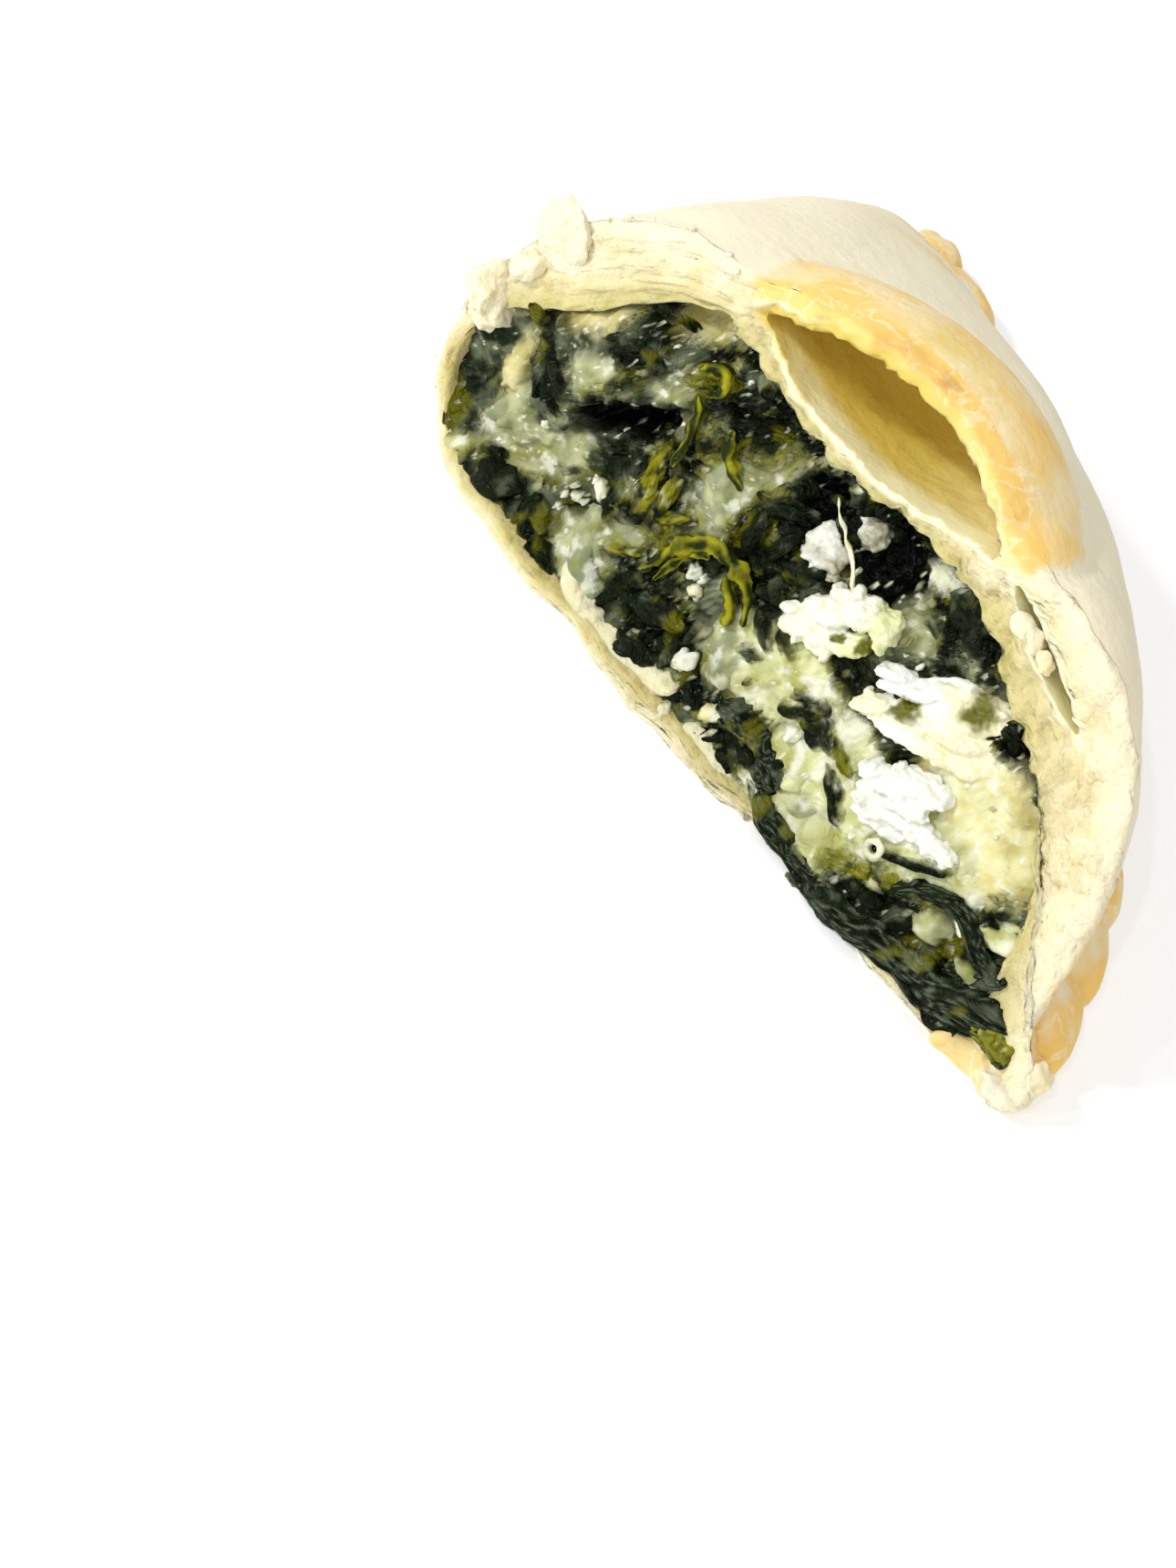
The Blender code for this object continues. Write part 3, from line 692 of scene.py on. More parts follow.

# What shows on the torn face: kind, x, z, half length, half width, turn and rise. The near-black
# kind stands for painted shade in the deep gaps.
ZONES = [
    ("veil", 5.9, 13.4, 10.2, 5.9, 40, 0.2), ("melt", 6.4, 6.7, 5.6, 3.0, 15, 0.2),
    ("melt", 24.4, 16.8, 5.2, 4.1, 60, 0.9), ("leaf", 29.1, 15.6, 4.6, 4.2, 35, 0.0),
    ("mash", 35.0, 8.7, 6.7, 3.7, 10, 0.9), ("mash", 44.8, 4.1, 6.5, 4.4, 0, 1.1),
    ("cream", 54.7, 13.3, 6.3, 4.6, -10, 0.3), ("mash", 52.8, 7.4, 6.7, 3.7, 0, 0.7),
    ("leaf", 59.8, 2.9, 9.8, 3.8, 5, 0.2), ("veil", 8.7, 16.1, 8.0, 4.4, 35, 2.8),
    ("leaf", 4.4, 12.3, 3.6, 2.4, -35, 0.2), ("dough", 5.8, 18.1, 3.0, 0.8, 35, 0.0),
    ("leaf", 10.0, 20.1, 2.7, 2.2, 40, 0.4), ("melt", 8.8, 15.8, 2.8, 1.5, 30, 0.3),
    ("olive", 11.0, 17.2, 2.7, 0.7, 55, 0.5), ("melt", 8.9, 11.6, 1.4, 1.0, 40, 0.8),
    ("melt", 14.6, 18.4, 1.7, 1.0, 10, 0.2), ("dough", 1.5, 10.0, 2.4, 1.1, -85, 1.0),
    ("mash", 1.3, 1.8, 2.2, 1.0, 30, 0.5), ("melt", 5.8, 6.7, 2.6, 1.6, 25, 0.7),
    ("veil", 6.5, 9.2, 2.8, 0.9, 10, 0.5), ("melt", 3.4, 6.0, 1.1, 0.7, 40, 0.9),
    ("shaded_hole", 12.0, 13.5, 4.7, 1.8, 40, -3.6), ("dough", 12.4, 23.7, 2.3, 1.6, 20, -2.2),
    ("olive", 15.9, 21.0, 1.7, 1.1, 40, 0.8), ("leaf", 21.0, 20.6, 4.3, 1.7, 20, -1.4),
    ("shaded_hole", 35.4, 21.1, 3.5, 3.1, 10, -3.4), ("shaded_hole", 28.5, 20.7, 2.5, 1.5, 10, -2.6),
    ("curd", 39.4, 23.2, 1.8, 0.9, 20, 0.5), ("veil", 44.1, 18.3, 4.3, 1.3, 30, -0.6),
    ("melt", 41.0, 19.4, 1.7, 1.5, -35, -0.8), ("melt", 30.7, 7.4, 2.4, 1.3, -25, 0.9),
    ("veil", 27.3, 9.0, 2.4, 1.3, -55, 0.3), ("melt", 16.3, 3.6, 2.9, 1.9, -15, 0.9),
    ("dough", 57.9, 14.4, 4.5, 1.4, -45, 0.3), ("shaded_hole", 53.0, 19.1, 1.9, 0.9, -30, -3.6),
    ("melt", 18.2, 7.0, 2.5, 1.2, 30, 0.2), ("mash", 44.0, 10.1, 2.5, 1.6, -20, 0.6),
]

# Round lumps of wet leaf and of cheese: kind, x, z, half length, half width, turn and how proud
LUMPS = [
    ("leaf", -0.3, 6.2, 2.7, 1.9, 30, 1.5), ("leaf", 0.4, 4.4, 1.8, 1.2, 0, 1.1),
    ("leaf", 0.8, 5.8, 2.0, 1.0, 55, 1.0), ("leaf", 0.9, 3.4, 1.8, 0.7, 30, 0.7),
    ("leaf", 6.1, 2.3, 2.9, 1.7, 25, 1.2), ("leaf", 4.5, 3.3, 1.6, 0.8, 20, 0.8),
    ("leaf", 7.1, 9.6, 1.6, 0.7, 5, 0.8), ("leaf", 11.5, 20.1, 1.5, 0.7, -10, 1.2),
    ("olive", 15.0, 21.1, 1.6, 0.6, 35, 1.1), ("olive", 16.3, 20.3, 1.4, 0.4, 30, 1.0),
    ("leaf", 13.6, 11.7, 2.8, 0.8, 35, 0.8), ("leaf", 15.6, 14.9, 1.3, 0.8, 40, 0.6),
    ("olive", 16.9, 17.3, 1.7, 0.7, -80, 0.9), ("olive", 16.6, 12.6, 2.2, 0.9, 90, 1.3),
    ("olive", 17.3, 11.0, 2.3, 1.0, -80, 1.4), ("olive", 18.9, 12.0, 1.7, 0.8, -80, 1.2),
    ("veil", 12.2, 8.9, 2.2, 1.0, 30, 0.8), ("leaf", 10.7, 6.8, 1.4, 0.7, 30, 0.6),
    ("curd", 14.3, 7.7, 1.2, 0.6, -35, 0.9), ("curd", 12.8, 6.0, 0.7, 0.5, 15, 0.9),
    ("curd", 13.7, 6.2, 0.5, 0.4, 45, 0.8), ("curd", 11.9, 5.4, 0.5, 0.4, 30, 0.8),
    ("curd", 13.2, 7.9, 0.5, 0.4, 10, 0.8), ("curd", 12.0, 4.3, 0.5, 0.4, 45, 0.7),
    ("curd", 12.0, 6.4, 0.6, 0.3, 45, 0.8), ("leaf", 11.5, 2.5, 2.1, 1.4, -25, 1.9),
    ("leaf", 14.2, 1.3, 2.1, 1.2, -20, 2.0), ("leaf", 11.7, 0.2, 1.3, 0.7, -5, 0.9),
    ("olive", 19.0, 6.2, 2.2, 0.7, 30, 0.9), ("leaf", 17.0, 8.3, 2.2, 0.7, 25, 0.7),
    ("olive", 20.5, 10.9, 1.5, 0.6, 45, 0.9), ("leaf", 20.5, 12.8, 1.4, 1.3, -35, 0.4),
    ("leaf", 21.2, 5.2, 2.1, 0.9, 25, 1.0), ("leaf", 21.5, 3.1, 2.2, 1.3, 5, 1.2),
    ("leaf", 24.4, 4.7, 2.8, 1.5, 25, 1.4), ("leaf", 24.7, 1.7, 2.9, 1.2, 10, 1.2),
    ("leaf", 27.3, 3.8, 2.0, 1.1, -10, 1.0), ("leaf", 28.4, 1.4, 2.4, 0.8, 15, 0.8),
    ("leaf", 23.7, 6.9, 1.5, 0.8, 45, 0.9), ("curd", 24.8, 9.5, 0.8, 0.6, -15, 1.2),
    ("curd", 25.8, 8.4, 0.9, 0.6, -25, 1.0), ("curd", 25.7, 9.5, 0.6, 0.4, 45, 1.0),
    ("veil", 25.3, 10.9, 1.0, 0.8, -5, 1.0), ("curd", 29.2, 4.0, 1.1, 0.9, 45, 1.7),
    ("cream", 33.8, 3.2, 1.4, 1.0, 50, 1.2), ("melt", 31.8, 5.9, 1.6, 0.9, -25, 1.2),
    ("leaf", 26.7, 15.8, 1.7, 1.0, -80, 2.0), ("leaf", 28.0, 13.9, 1.3, 0.8, -25, 1.4),
    ("leaf", 29.0, 16.8, 1.9, 0.8, 80, 1.7), ("leaf", 31.1, 15.6, 1.8, 0.9, 20, 1.2),
    ("leaf", 31.6, 13.3, 1.8, 1.0, -20, 1.0), ("leaf", 32.6, 10.8, 1.8, 1.1, -30, 1.1),
    ("leaf", 34.6, 11.4, 1.4, 0.9, -10, 0.9), ("leaf", 32.7, 8.7, 1.4, 0.9, 20, 1.0),
    ("leaf", 29.2, 20.0, 1.5, 0.8, 20, 0.2), ("leaf", 26.4, 20.1, 1.6, 0.8, 0, 0.4),
    ("veil", 33.6, 21.6, 1.4, 1.2, 40, 1.2), ("leaf", 42.7, 23.2, 1.8, 1.3, 0, 1.2),
    ("leaf", 44.4, 22.0, 1.5, 0.8, -10, 0.9), ("veil", 41.9, 20.4, 1.4, 1.1, -5, 0.3),
    ("leaf", 45.7, 18.7, 2.4, 0.5, 25, 0.3), ("melt", 39.5, 20.7, 1.2, 1.0, -40, 0.5),
    ("leaf", 39.0, 8.9, 2.1, 1.2, 40, 1.4), ("leaf", 41.5, 8.4, 2.3, 1.4, -10, 1.6),
    ("leaf", 38.4, 9.7, 1.4, 0.6, 30, 1.1), ("olive", 44.0, 8.8, 1.6, 0.5, -20, 1.3),
    ("curd", 39.8, 6.8, 0.7, 0.6, 50, 1.6), ("leaf", 36.6, 3.6, 2.0, 1.1, -80, 1.7),
    ("leaf", 39.4, 3.2, 2.4, 1.2, 0, 1.5), ("leaf", 41.3, 4.0, 1.6, 1.0, 10, 1.3),
    ("leaf", 46.1, 6.4, 2.3, 0.7, -30, 1.3), ("melt", 44.2, 3.6, 1.6, 1.4, 20, 1.0),
    ("mash", 46.9, 3.2, 1.8, 1.4, 15, 1.0), ("mash", 42.5, 4.7, 1.2, 0.9, 50, 0.8),
    ("leaf", 44.9, 1.4, 4.4, 0.7, -5, 0.8), ("leaf", 49.3, 1.0, 3.3, 0.7, 0, 0.8),
    ("olive", 50.2, 3.7, 2.2, 0.9, 20, 0.9), ("leaf", 53.0, 7.2, 2.4, 0.4, 30, 1.2),
    ("leaf", 54.5, 8.0, 1.8, 0.4, 30, 1.1), ("mash", 52.5, 4.2, 1.9, 0.9, 20, 0.9),
    ("curd", 48.4, -0.9, 0.9, 0.7, 55, 1.3), ("leaf", 53.0, 3.2, 1.6, 0.6, 10, 0.8),
    ("leaf", 54.5, 14.6, 0.4, 0.3, 20, 0.4), ("olive", 53.5, 5.2, 1.9, 0.7, 30, 0.9),
    ("melt", 58.2, 5.3, 1.9, 1.7, -15, 1.5), ("mash", 61.9, 8.3, 2.5, 1.3, 25, 1.1),
    ("melt", 62.5, 5.5, 1.5, 0.7, 0, 1.6), ("curd", 59.8, 7.2, 1.0, 0.4, 0, 1.6),
    ("leaf", 34.2, 6.9, 0.4, 0.4, 50, 0.8), ("leaf", 50.8, 6.5, 0.5, 0.4, -45, 1.2),
]

# Long leaves that lie over the torn face: path of x and z, half width, how proud and kind
LONG_LEAVES = [
    ([(49.6, 0.6), (54.8, 1.5), (59.8, 1.9), (64.3, 2.7), (67.5, 3.4)], 1.4, 0.5, "leaf"),
    ([(51.9, 1.1), (56.3, 1.9), (61.2, 2.8), (65.1, 3.9), (68.2, 4.5)], 1.3, 0.8, "leaf"),
    ([(53.9, 5.2), (56.3, 7.5), (59.2, 7.9), (62.0, 6.9), (64.6, 6.2)], 0.8, 1.0, "leaf"),
    ([(60.9, 4.6), (62.6, 5.2), (64.0, 6.0), (65.0, 7.0)], 0.9, 0.6, "leaf"),
    ([(65.5, 3.5), (67.2, 3.4), (68.7, 3.2), (69.8, 3.0)], 1.1, 1.0, "olive"),
    ([(41.2, 2.5), (44.9, 1.4), (48.9, 0.8), (52.5, 0.6)], 0.9, 0.6, "leaf"),
    ([(33.8, 4.3), (37.0, 4.0), (40.2, 3.5), (42.2, 3.5)], 1.3, 0.5, "leaf"),
    ([(15.0, 7.2), (15.8, 4.6), (17.6, 3.0), (20.2, 2.3)], 1.2, 0.6, "melt"),
]

# Stalks and ribbons: path of x and z, radius and how proud
STALKS = [
    ([(21.5, 6.5), (22.1, 8.5), (22.7, 10.5), (23.9, 12.0), (25.4, 12.8), (27.1, 12.9),
      (28.8, 12.3), (30.2, 11.4), (31.0, 10.0)], 0.50, 1.3),
    ([(22.8, 6.9), (23.2, 9.1), (24.1, 11.0), (25.3, 11.8)], 0.28, 1.4),
    ([(27.2, 11.5), (28.4, 10.9), (29.3, 10.1), (29.8, 8.9)], 0.40, 1.4),
    ([(20.0, 20.0), (21.2, 18.4), (23.7, 17.3)], 0.45, 1.6),
    ([(18.0, 14.5), (17.4, 16.6), (16.7, 18.6), (15.8, 19.6)], 0.30, 1.4),
    ([(14.6, 21.1), (15.3, 21.9), (16.5, 22.1), (17.2, 21.2), (16.6, 20.2)], 0.42, 1.3),
]
STALK_DARK = (0.020, 0.030, 0.003)
STALK_LIGHT = (0.320, 0.310, 0.016)
STREAK_SHEEN = (0.16, 0.19, 0.13)
STRING = [(29.7, 22.4), (33.1, 20.2), (36.1, 18.0)]
STRING_RADIUS = 0.13


def tear_y(z):
    """Where the mixture's torn face lies, without its relief."""
    return z * TEAR_LEAN + FILLING_SET_BACK


def folds(points, width, turn, seed):
    """Round folds with sharp valleys, from 0 to 1, that wind like a wet crumpled leaf."""
    along = points[:, 0] * np.sin(turn) - points[:, 2] * np.cos(turn)
    winding = 0.55 * grain(points, 3.5 * width, seed, 2)
    return waves(along / width + 2.2 * winding, 0.7)


def tint(kind, points, fold):
    """Colours of one kind of thing, with painted shade in the valleys of its folds, and stained by
    others.
    """
    dark, light, _, folded, _ = KINDS[kind]
    mottle = (0.5 + 0.9 * grain(points, 2.0, 47.0, 3)).clip(0, 1)
    # Painted shade: the tone falls in the valleys of the folds and rises on their ridges.
    tone = (mottle * (1 - 0.6 * folded) + 0.6 * folded * fold).clip(0, 1)
    colour = blend(dark, light, tone)
    for other, size, seed, threshold, most in STAINS[kind]:
        share = most * ramp(grain(points, size, seed, 3), threshold, threshold + 0.28)
        colour = blend(colour, KINDS[other][1], share)
    return colour


def mixture(x, z):
    """Rise of the mixture at places on its torn face, its folds, and the share of each kind."""
    flat = stack(x, 0 * x, z)
    bent_x = x + 0.7 * grain(flat, 2.4, 31.0, 2) + 0.35 * grain(flat, 0.7, 32.0, 2)
    bent_z = z + 0.7 * grain(flat, 2.4, 33.0, 2) + 0.35 * grain(flat, 0.7, 34.0, 2)
    shares = {kind: np.zeros(len(x)) for kind in KINDS}
    shares["leaf"] += 1
    turn = 0.9 * math.pi * grain(flat, 14, 35.0)
    rise = 0.8 * grain(flat, 5, 30.0)

    def cover(kind, share):
        for other in shares:
            shares[other] *= 1 - share
        shares[kind] += share

    cover("veil", 0.6 * ramp(grain(flat, 3.4, 37.0, 3), 0.15, 0.40))
    cover("melt", 0.8 * ramp(grain(flat, 1.6, 38.0, 2), 0.38, 0.52))
    for kind, zone_x, zone_z, half_long, half_wide, degrees, lift in ZONES:
        right, up = spin(bent_x - zone_x, bent_z - zone_z, -degrees)
        away = np.hypot(right / half_long, up / half_wide)
        share = smooth((1.05 - away) * min(half_long, half_wide) / 1.3 + 0.5)
        cover(kind, share)
        rise += lift * (1 - away ** 2).clip(0) ** (0.5 if lift > 0 else 1.0)
        if kind in ("leaf", "olive"):
            turn += share * (math.radians(degrees) - turn)
    cover("olive", 2.4 * shares["leaf"] * (shares["mash"] + shares["cream"] + shares["melt"]))
    cover("curd", ramp(grain(flat, 0.5, 41.0), 0.45, 0.53))
    wide, fine = folds(flat, 2.6, turn, 42.0), folds(flat, 1.1, turn + 0.5, 44.0)
    crumbs = grain(flat, 0.8, 46.0, 2)
    for kind, (_, _, _, folded, crumbly) in KINDS.items():
        rise += shares[kind] * (folded * (0.7 * wide + 0.15 * fine) + crumbly * 0.5 * crumbs)
    rise += 1.2 * ramp(z, 4.5, 1.5)
    return rise, wide * fine, shares, turn


def mixture_looks(x, z):
    """Colour, gloss and wrinkles of the mixture at places on its torn face."""
    _, fold, shares, _ = mixture(x, z)
    flat = stack(x, 0 * x, z)
    colour, gloss, wrinkle = np.zeros((len(x), 3)), np.zeros(len(x)), np.zeros(len(x))
    for kind, share in shares.items():
        shows = share > 0.01
        colour[shows] += tint(kind, flat[shows], fold[shows]) * share[shows, None]
        gloss += KINDS[kind][2] * share
        wrinkle += KINDS[kind][3] * share
    return colour, gloss, wrinkle


def build_mixture():
    """The mixture: a deep block with the torn face in front, kept to the room in the crust."""
    (left, right), (bottom, top) = MIXTURE_WIDTH, MIXTURE_HEIGHT
    steps = (int((right - left) / FACE_STEP), int((top - bottom) / FACE_STEP))
    block, u, v = grid("spinach_mixture", *steps)
    x, z = left + (right - left) * u, bottom + (top - bottom) * v
    place(block, stack(x, tear_y(z) - mixture(x, z)[0], z))

    def deepen():
        move = {"value": (0, MIXTURE_BACK * MM, 0)}
        bpy.ops.mesh.extrude_region_move(TRANSFORM_OT_translate=move)

    edit(block, deepen)
    points = plan_points(block)
    points[points[:, 1] > 0.7 * MIXTURE_BACK, 1] = MIXTURE_BACK
    place(block, points)
    edit(block, face_outwards)
    combine(block, room_solid(), "INTERSECT")
    points = plan_points(block)
    dress_mixture(block, *mixture_looks(points[:, 0], points[:, 2]))
    return block


def dress_mixture(piece, colour, gloss, wrinkle=0.0):
    paint(piece, colour)
    mark(piece, "gloss", gloss)
    mark(piece, "wrinkle", wrinkle)


def room_solid():
    """The room inside the crust, a little larger so that the mixture meets its walls."""
    k = np.concatenate([(-0.25, -0.12), np.linspace(0, CAVITY_BACK - 0.01, 40)])
    points = sweep(inner_wall, k, (20, 8, 30, 16), gap=-WALL_OVERLAP)
    points[:, :2, 1] = (-30, -12)
    room, _ = tube("room", points)
    edit(room, merge, close_ends, face_outwards)
    return room


def in_opening(x, z, margin=0.5):
    """Whether places on the torn face lie inside the room, this far from its walls."""
    over, s = section(12, 6, 20, 8)
    wall_x, _, wall_z = inner_wall(np.zeros(len(s)), over, s, gap=margin).T
    inside = np.zeros(len(x), bool)
    for x1, z1, x2, z2 in zip(wall_x, wall_z, np.roll(wall_x, 1), np.roll(wall_z, 1)):
        crossing = (z1 > z) != (z2 > z)
        inside ^= crossing & (x < x1 + (x2 - x1) * (z - z1) / np.where(crossing, z2 - z1, 1))
    return inside


def face_rise(x, z):
    """How far the mixture stands out of its torn face round each place."""
    spread = 0.6 * np.array([(0, 0), (1, 0), (-1, 0), (0, 1), (0, -1)])
    rises = [mixture(x + dx, z + dz)[0] for dx, dz in spread]
    return np.mean(rises, axis=0)


def build_lump(kind, x, z, half_long, half_wide, degrees, front, seed):
    """One lump of the mixture, its front this far out of the torn face."""
    folded, crumbly = KINDS[kind][3:]
    bpy.ops.mesh.primitive_ico_sphere_add(subdivisions=4 if half_long > 2 else 3, radius=1)
    lump = bpy.context.object
    unit = points_of(lump)
    half_deep = (0.8 - 0.25 * folded) * half_wide + 0.3
    local = unit * (half_long, half_deep, half_wide)
    uneven = 0.22 + 0.16 * folded + 0.25 * crumbly
    local *= (1 + uneven * grain(unit, 0.7, seed, 2))[:, None]
    width = min(1.7, 1.1 * half_wide)
    winding = 0.35 * grain(local, 2.2, seed + 1.5, 2)
    fold = waves(local[:, 2] / width + 2 * winding + 0.37 * seed, 0.6)
    deep = 0.26 * folded * width * (1 - fold) * (1 - 0.7 * np.abs(unit[:, 0]))
    local -= unit * deep[:, None]
    local += unit * (0.14 * crumbly * grain(local, 0.6, seed + 3, 2))[:, None]
    right, up = spin(local[:, 0], local[:, 2], degrees)
    points = stack(x + right, tear_y(z + up) - front + half_deep + local[:, 1], z + up)
    points[:, 2] = points[:, 2].clip(0.1)
    place(lump, points)
    dress_mixture(lump, tint(kind, points * (1, 0.5, 1), fold), KINDS[kind][2], folded)
    return lump


def leafy_places():
    """Places on the torn face where only leaf shows and nothing listed lies, with their turns."""
    rng = np.random.default_rng(7)
    x, z = (v.ravel() for v in np.meshgrid(np.arange(-1, 66, 2.5), np.arange(2, 26, 2.5)))
    x, z = x + rng.uniform(-1, 1, len(x)), z + rng.uniform(-1, 1, len(z))
    _, _, shares, turn = mixture(x, z)
    taken = [(x2, z2) for _, x2, z2, *_ in LUMPS]
    for path, *_ in LONG_LEAVES + STALKS:
        taken += [tuple(p) for p in along(path, np.linspace(0, 1, 12))[0]]
    clear = [min(math.hypot(a - x2, b - z2) for x2, z2 in taken) > 1.4 for a, b in zip(x, z)]
    kept = (shares["leaf"] > 0.6) & np.array(clear) & in_opening(x, z, 1.0)
    for a, b, lie in zip(x[kept], z[kept], np.degrees(turn[kept])):
        yield a, b, rng.uniform(1.3, 2.8), rng.uniform(0.5, 1.0), lie + rng.uniform(-35, 35)


def build_lumps():
    """The lumps of the torn face, in one piece: those listed, and small ones between them."""
    table = [(*lump[:6], 0.55 * lump[6], 1.3 * i) for i, lump in enumerate(LUMPS)]
    table += [("leaf", *small, 0.25 * small[3], 200 + i) for i, small in enumerate(leafy_places())]
    rises = face_rise(*np.array([row[1:3] for row in table]).T)
    lumps = [build_lump(*shape, rise + proud, seed)
             for (*shape, proud, seed), rise in zip(table, rises)]
    piece = join("spinach_lumps", lumps)
    soak(piece)
    return piece


def soak(piece):
    """Gives a piece the mixture's own looks where it sinks into the torn face."""
    x, y, z = plan_points(piece).T
    out = tear_y(z) - y - mixture(x, z)[0]
    own = values_of(piece.data.color_attributes["mix"].data, "color", 4)[:, :3]
    paint(piece, blend(mixture_looks(x, z)[0], own, ramp(out, -0.06, 0.54)))


def along(path, t):
    """Points of a smooth curve through a path, and its direction, at shares t of its length."""
    path = np.array(path, float)
    knots = np.concatenate([[0], np.cumsum(np.linalg.norm(np.diff(path, axis=0), axis=1))])
    knots /= knots[-1]
    slopes = np.gradient(path, knots, axis=0)
    i = np.searchsorted(knots, t, side="right").clip(1, len(knots) - 1) - 1
    step = (knots[i + 1] - knots[i])[:, None]
    f = (t - knots[i])[:, None] / step
    points = ((1 + 2 * f) * (1 - f) ** 2 * path[i] + f * (1 - f) ** 2 * step * slopes[i]
              + f * f * (3 - 2 * f) * path[i + 1] + f * f * (f - 1) * step * slopes[i + 1])
    direction = np.gradient(points, t, axis=0)
    return points, direction / np.linalg.norm(direction, axis=1)[:, None]


def follow(name, path, steps, columns):
    """A sheet along a path: its u and v, each point's step, and each step's place and direction."""
    sheet, u, v = grid(name, steps, columns)
    shares, step = np.unique(np.round(u, 5), return_inverse=True)
    return sheet, u, v, step, *along(path, shares)


def build_band(name, path, half_width, proud, seed, folded=0.3, thickness=0.25, ragged=0.3):
    """A leaf or a flap that follows a path over the torn face, with its edges tucked under.

    Its folds and streaks are given back, for both of its sides.
    """
    band, u, v, step, points, direction = follow(name, path, 70, 22)
    bed = np.convolve(np.pad(face_rise(*points.T), 6, "edge"), np.ones(13) / 13, "valid")[step]
    (path_x, path_z), (ahead_x, ahead_z) = points[step].T, direction[step].T
    side = 2 * v - 1
    middle, edge = stack(path_x, 0 * u, path_z), stack(path_x, 5 * np.sign(side), path_z)
    ends = np.sqrt(1 - (2 * u - 1) ** 6)
    width = half_width * ends * (1 + 0.35 * grain(middle, 2.0, seed, 2))
    width = width + ragged * half_width * grain(edge, 0.7, seed + 8, 2) * np.abs(side) ** 3
    flow = stack(u * 6, side * 2.2, 0 * u + seed)
    fold = waves(1.6 * side + 1.5 * grain(flow, 2.5, seed + 2, 2), 0.7)
    streak = waves(5.5 * (side + 0.4 * grain(flow, 1.6, seed + 4, 2)))
    x = path_x - ahead_z * side * width
    z = (path_z + ahead_x * side * width).clip(0.1)
    rise = bed + proud * ends ** 0.5 - 0.9 * np.abs(side) ** 3 * half_width
    rise = rise + 0.35 * folded * half_width * fold + 0.4 * grain(middle, 3.0, seed + 5)
    place(band, stack(x, tear_y(z) - rise, z))
    modify(band, "SOLIDIFY", thickness=thickness * MM, offset=-1)
    points = plan_points(band)
    points[:, 2] = points[:, 2].clip(0)
    place(band, points)
    return band, np.tile(fold, 2), np.tile(streak, 2)


def build_stalk(name, path, radius, proud, seed):
    """A round stalk or string that follows a path over the torn face."""
    stalk, u, v, step, points, direction = follow(name, path, 110, 18)
    (path_x, path_z), (ahead_x, ahead_z) = points[step].T, direction[step].T
    turn = 2 * math.pi * v
    middle = stack(path_x, 0 * u, path_z)
    size = radius * (1 + 0.7 * grain(middle, 1.3, seed, 3)) * np.sqrt(1 - (2 * u - 1) ** 4 * 0.98)
    streak = np.abs(np.sin(1.5 * turn + 3 * grain(middle, 3.0, seed + 1)))
    groove = 1 - 0.25 * (1 - streak)
    mark(stalk, "streak", streak)
    across, out = 1.3 * size * groove * np.cos(turn), size * groove * np.sin(turn)
    x, z = path_x - ahead_z * across, path_z + ahead_x * across
    sway = 0.5 * grain(middle, 2.0, seed + 2, 2)
    place(stalk, stack(x, tear_y(z) - proud - out - sway, z))
    edit(stalk, merge, close_ends, face_outwards)
    return stalk


def build_stalks():
    stalks = []
    for seed, (path, radius, proud) in enumerate(STALKS):
        stalk = build_stalk("stalk", path, radius, proud, 70.0 + 3 * seed)
        # Painted highlight on each stalk's ridges and painted shade in its grooves, along its fibre
        # streaks, over a mottled tone.
        mottle = 1.1 * grain(plan_points(stalk), 1.8, 71.0, 3)
        shade = (0.9 * read_mark(stalk, "streak") ** 2.5 + mottle).clip(0, 1)
        dress_mixture(stalk, blend(STALK_DARK, STALK_LIGHT, shade), 1.0, 0.15)
        stalks.append(stalk)
    return join("green_stalks", stalks)


def build_long_leaves():
    """The long leaves, with fine pale streaks along them: veins with painted sheen, shown only on
    the ridges of their folds.
    """
    leaves = []
    for seed, (path, half_width, proud, kind) in enumerate(LONG_LEAVES):
        folded = KINDS[kind][3]
        leaf, fold, streak = build_band("leaf", path, half_width, proud, 80.0 + 7 * seed, folded)
        colour = tint(kind, plan_points(leaf) * (1, 0, 1), fold)
        # Painted sheen: the pale veins show only where the folds ride high.
        pale = folded * 0.75 * streak ** 8 * smooth(fold * 1.5 - 0.2)
        dress_mixture(leaf, blend(colour, STREAK_SHEEN, pale), KINDS[kind][2], 0.7 * folded)
        leaves.append(leaf)
    return join("long_leaves", leaves)


def build_string():
    """The thin string of melted cheese, stretched between the top crust and the middle feta."""
    string = build_stalk("cheese_string", STRING, STRING_RADIUS, 1.5, 91.0)
    dress_mixture(string, tint("cream", plan_points(string), 0.8), 0.6)
    return string


# Feta

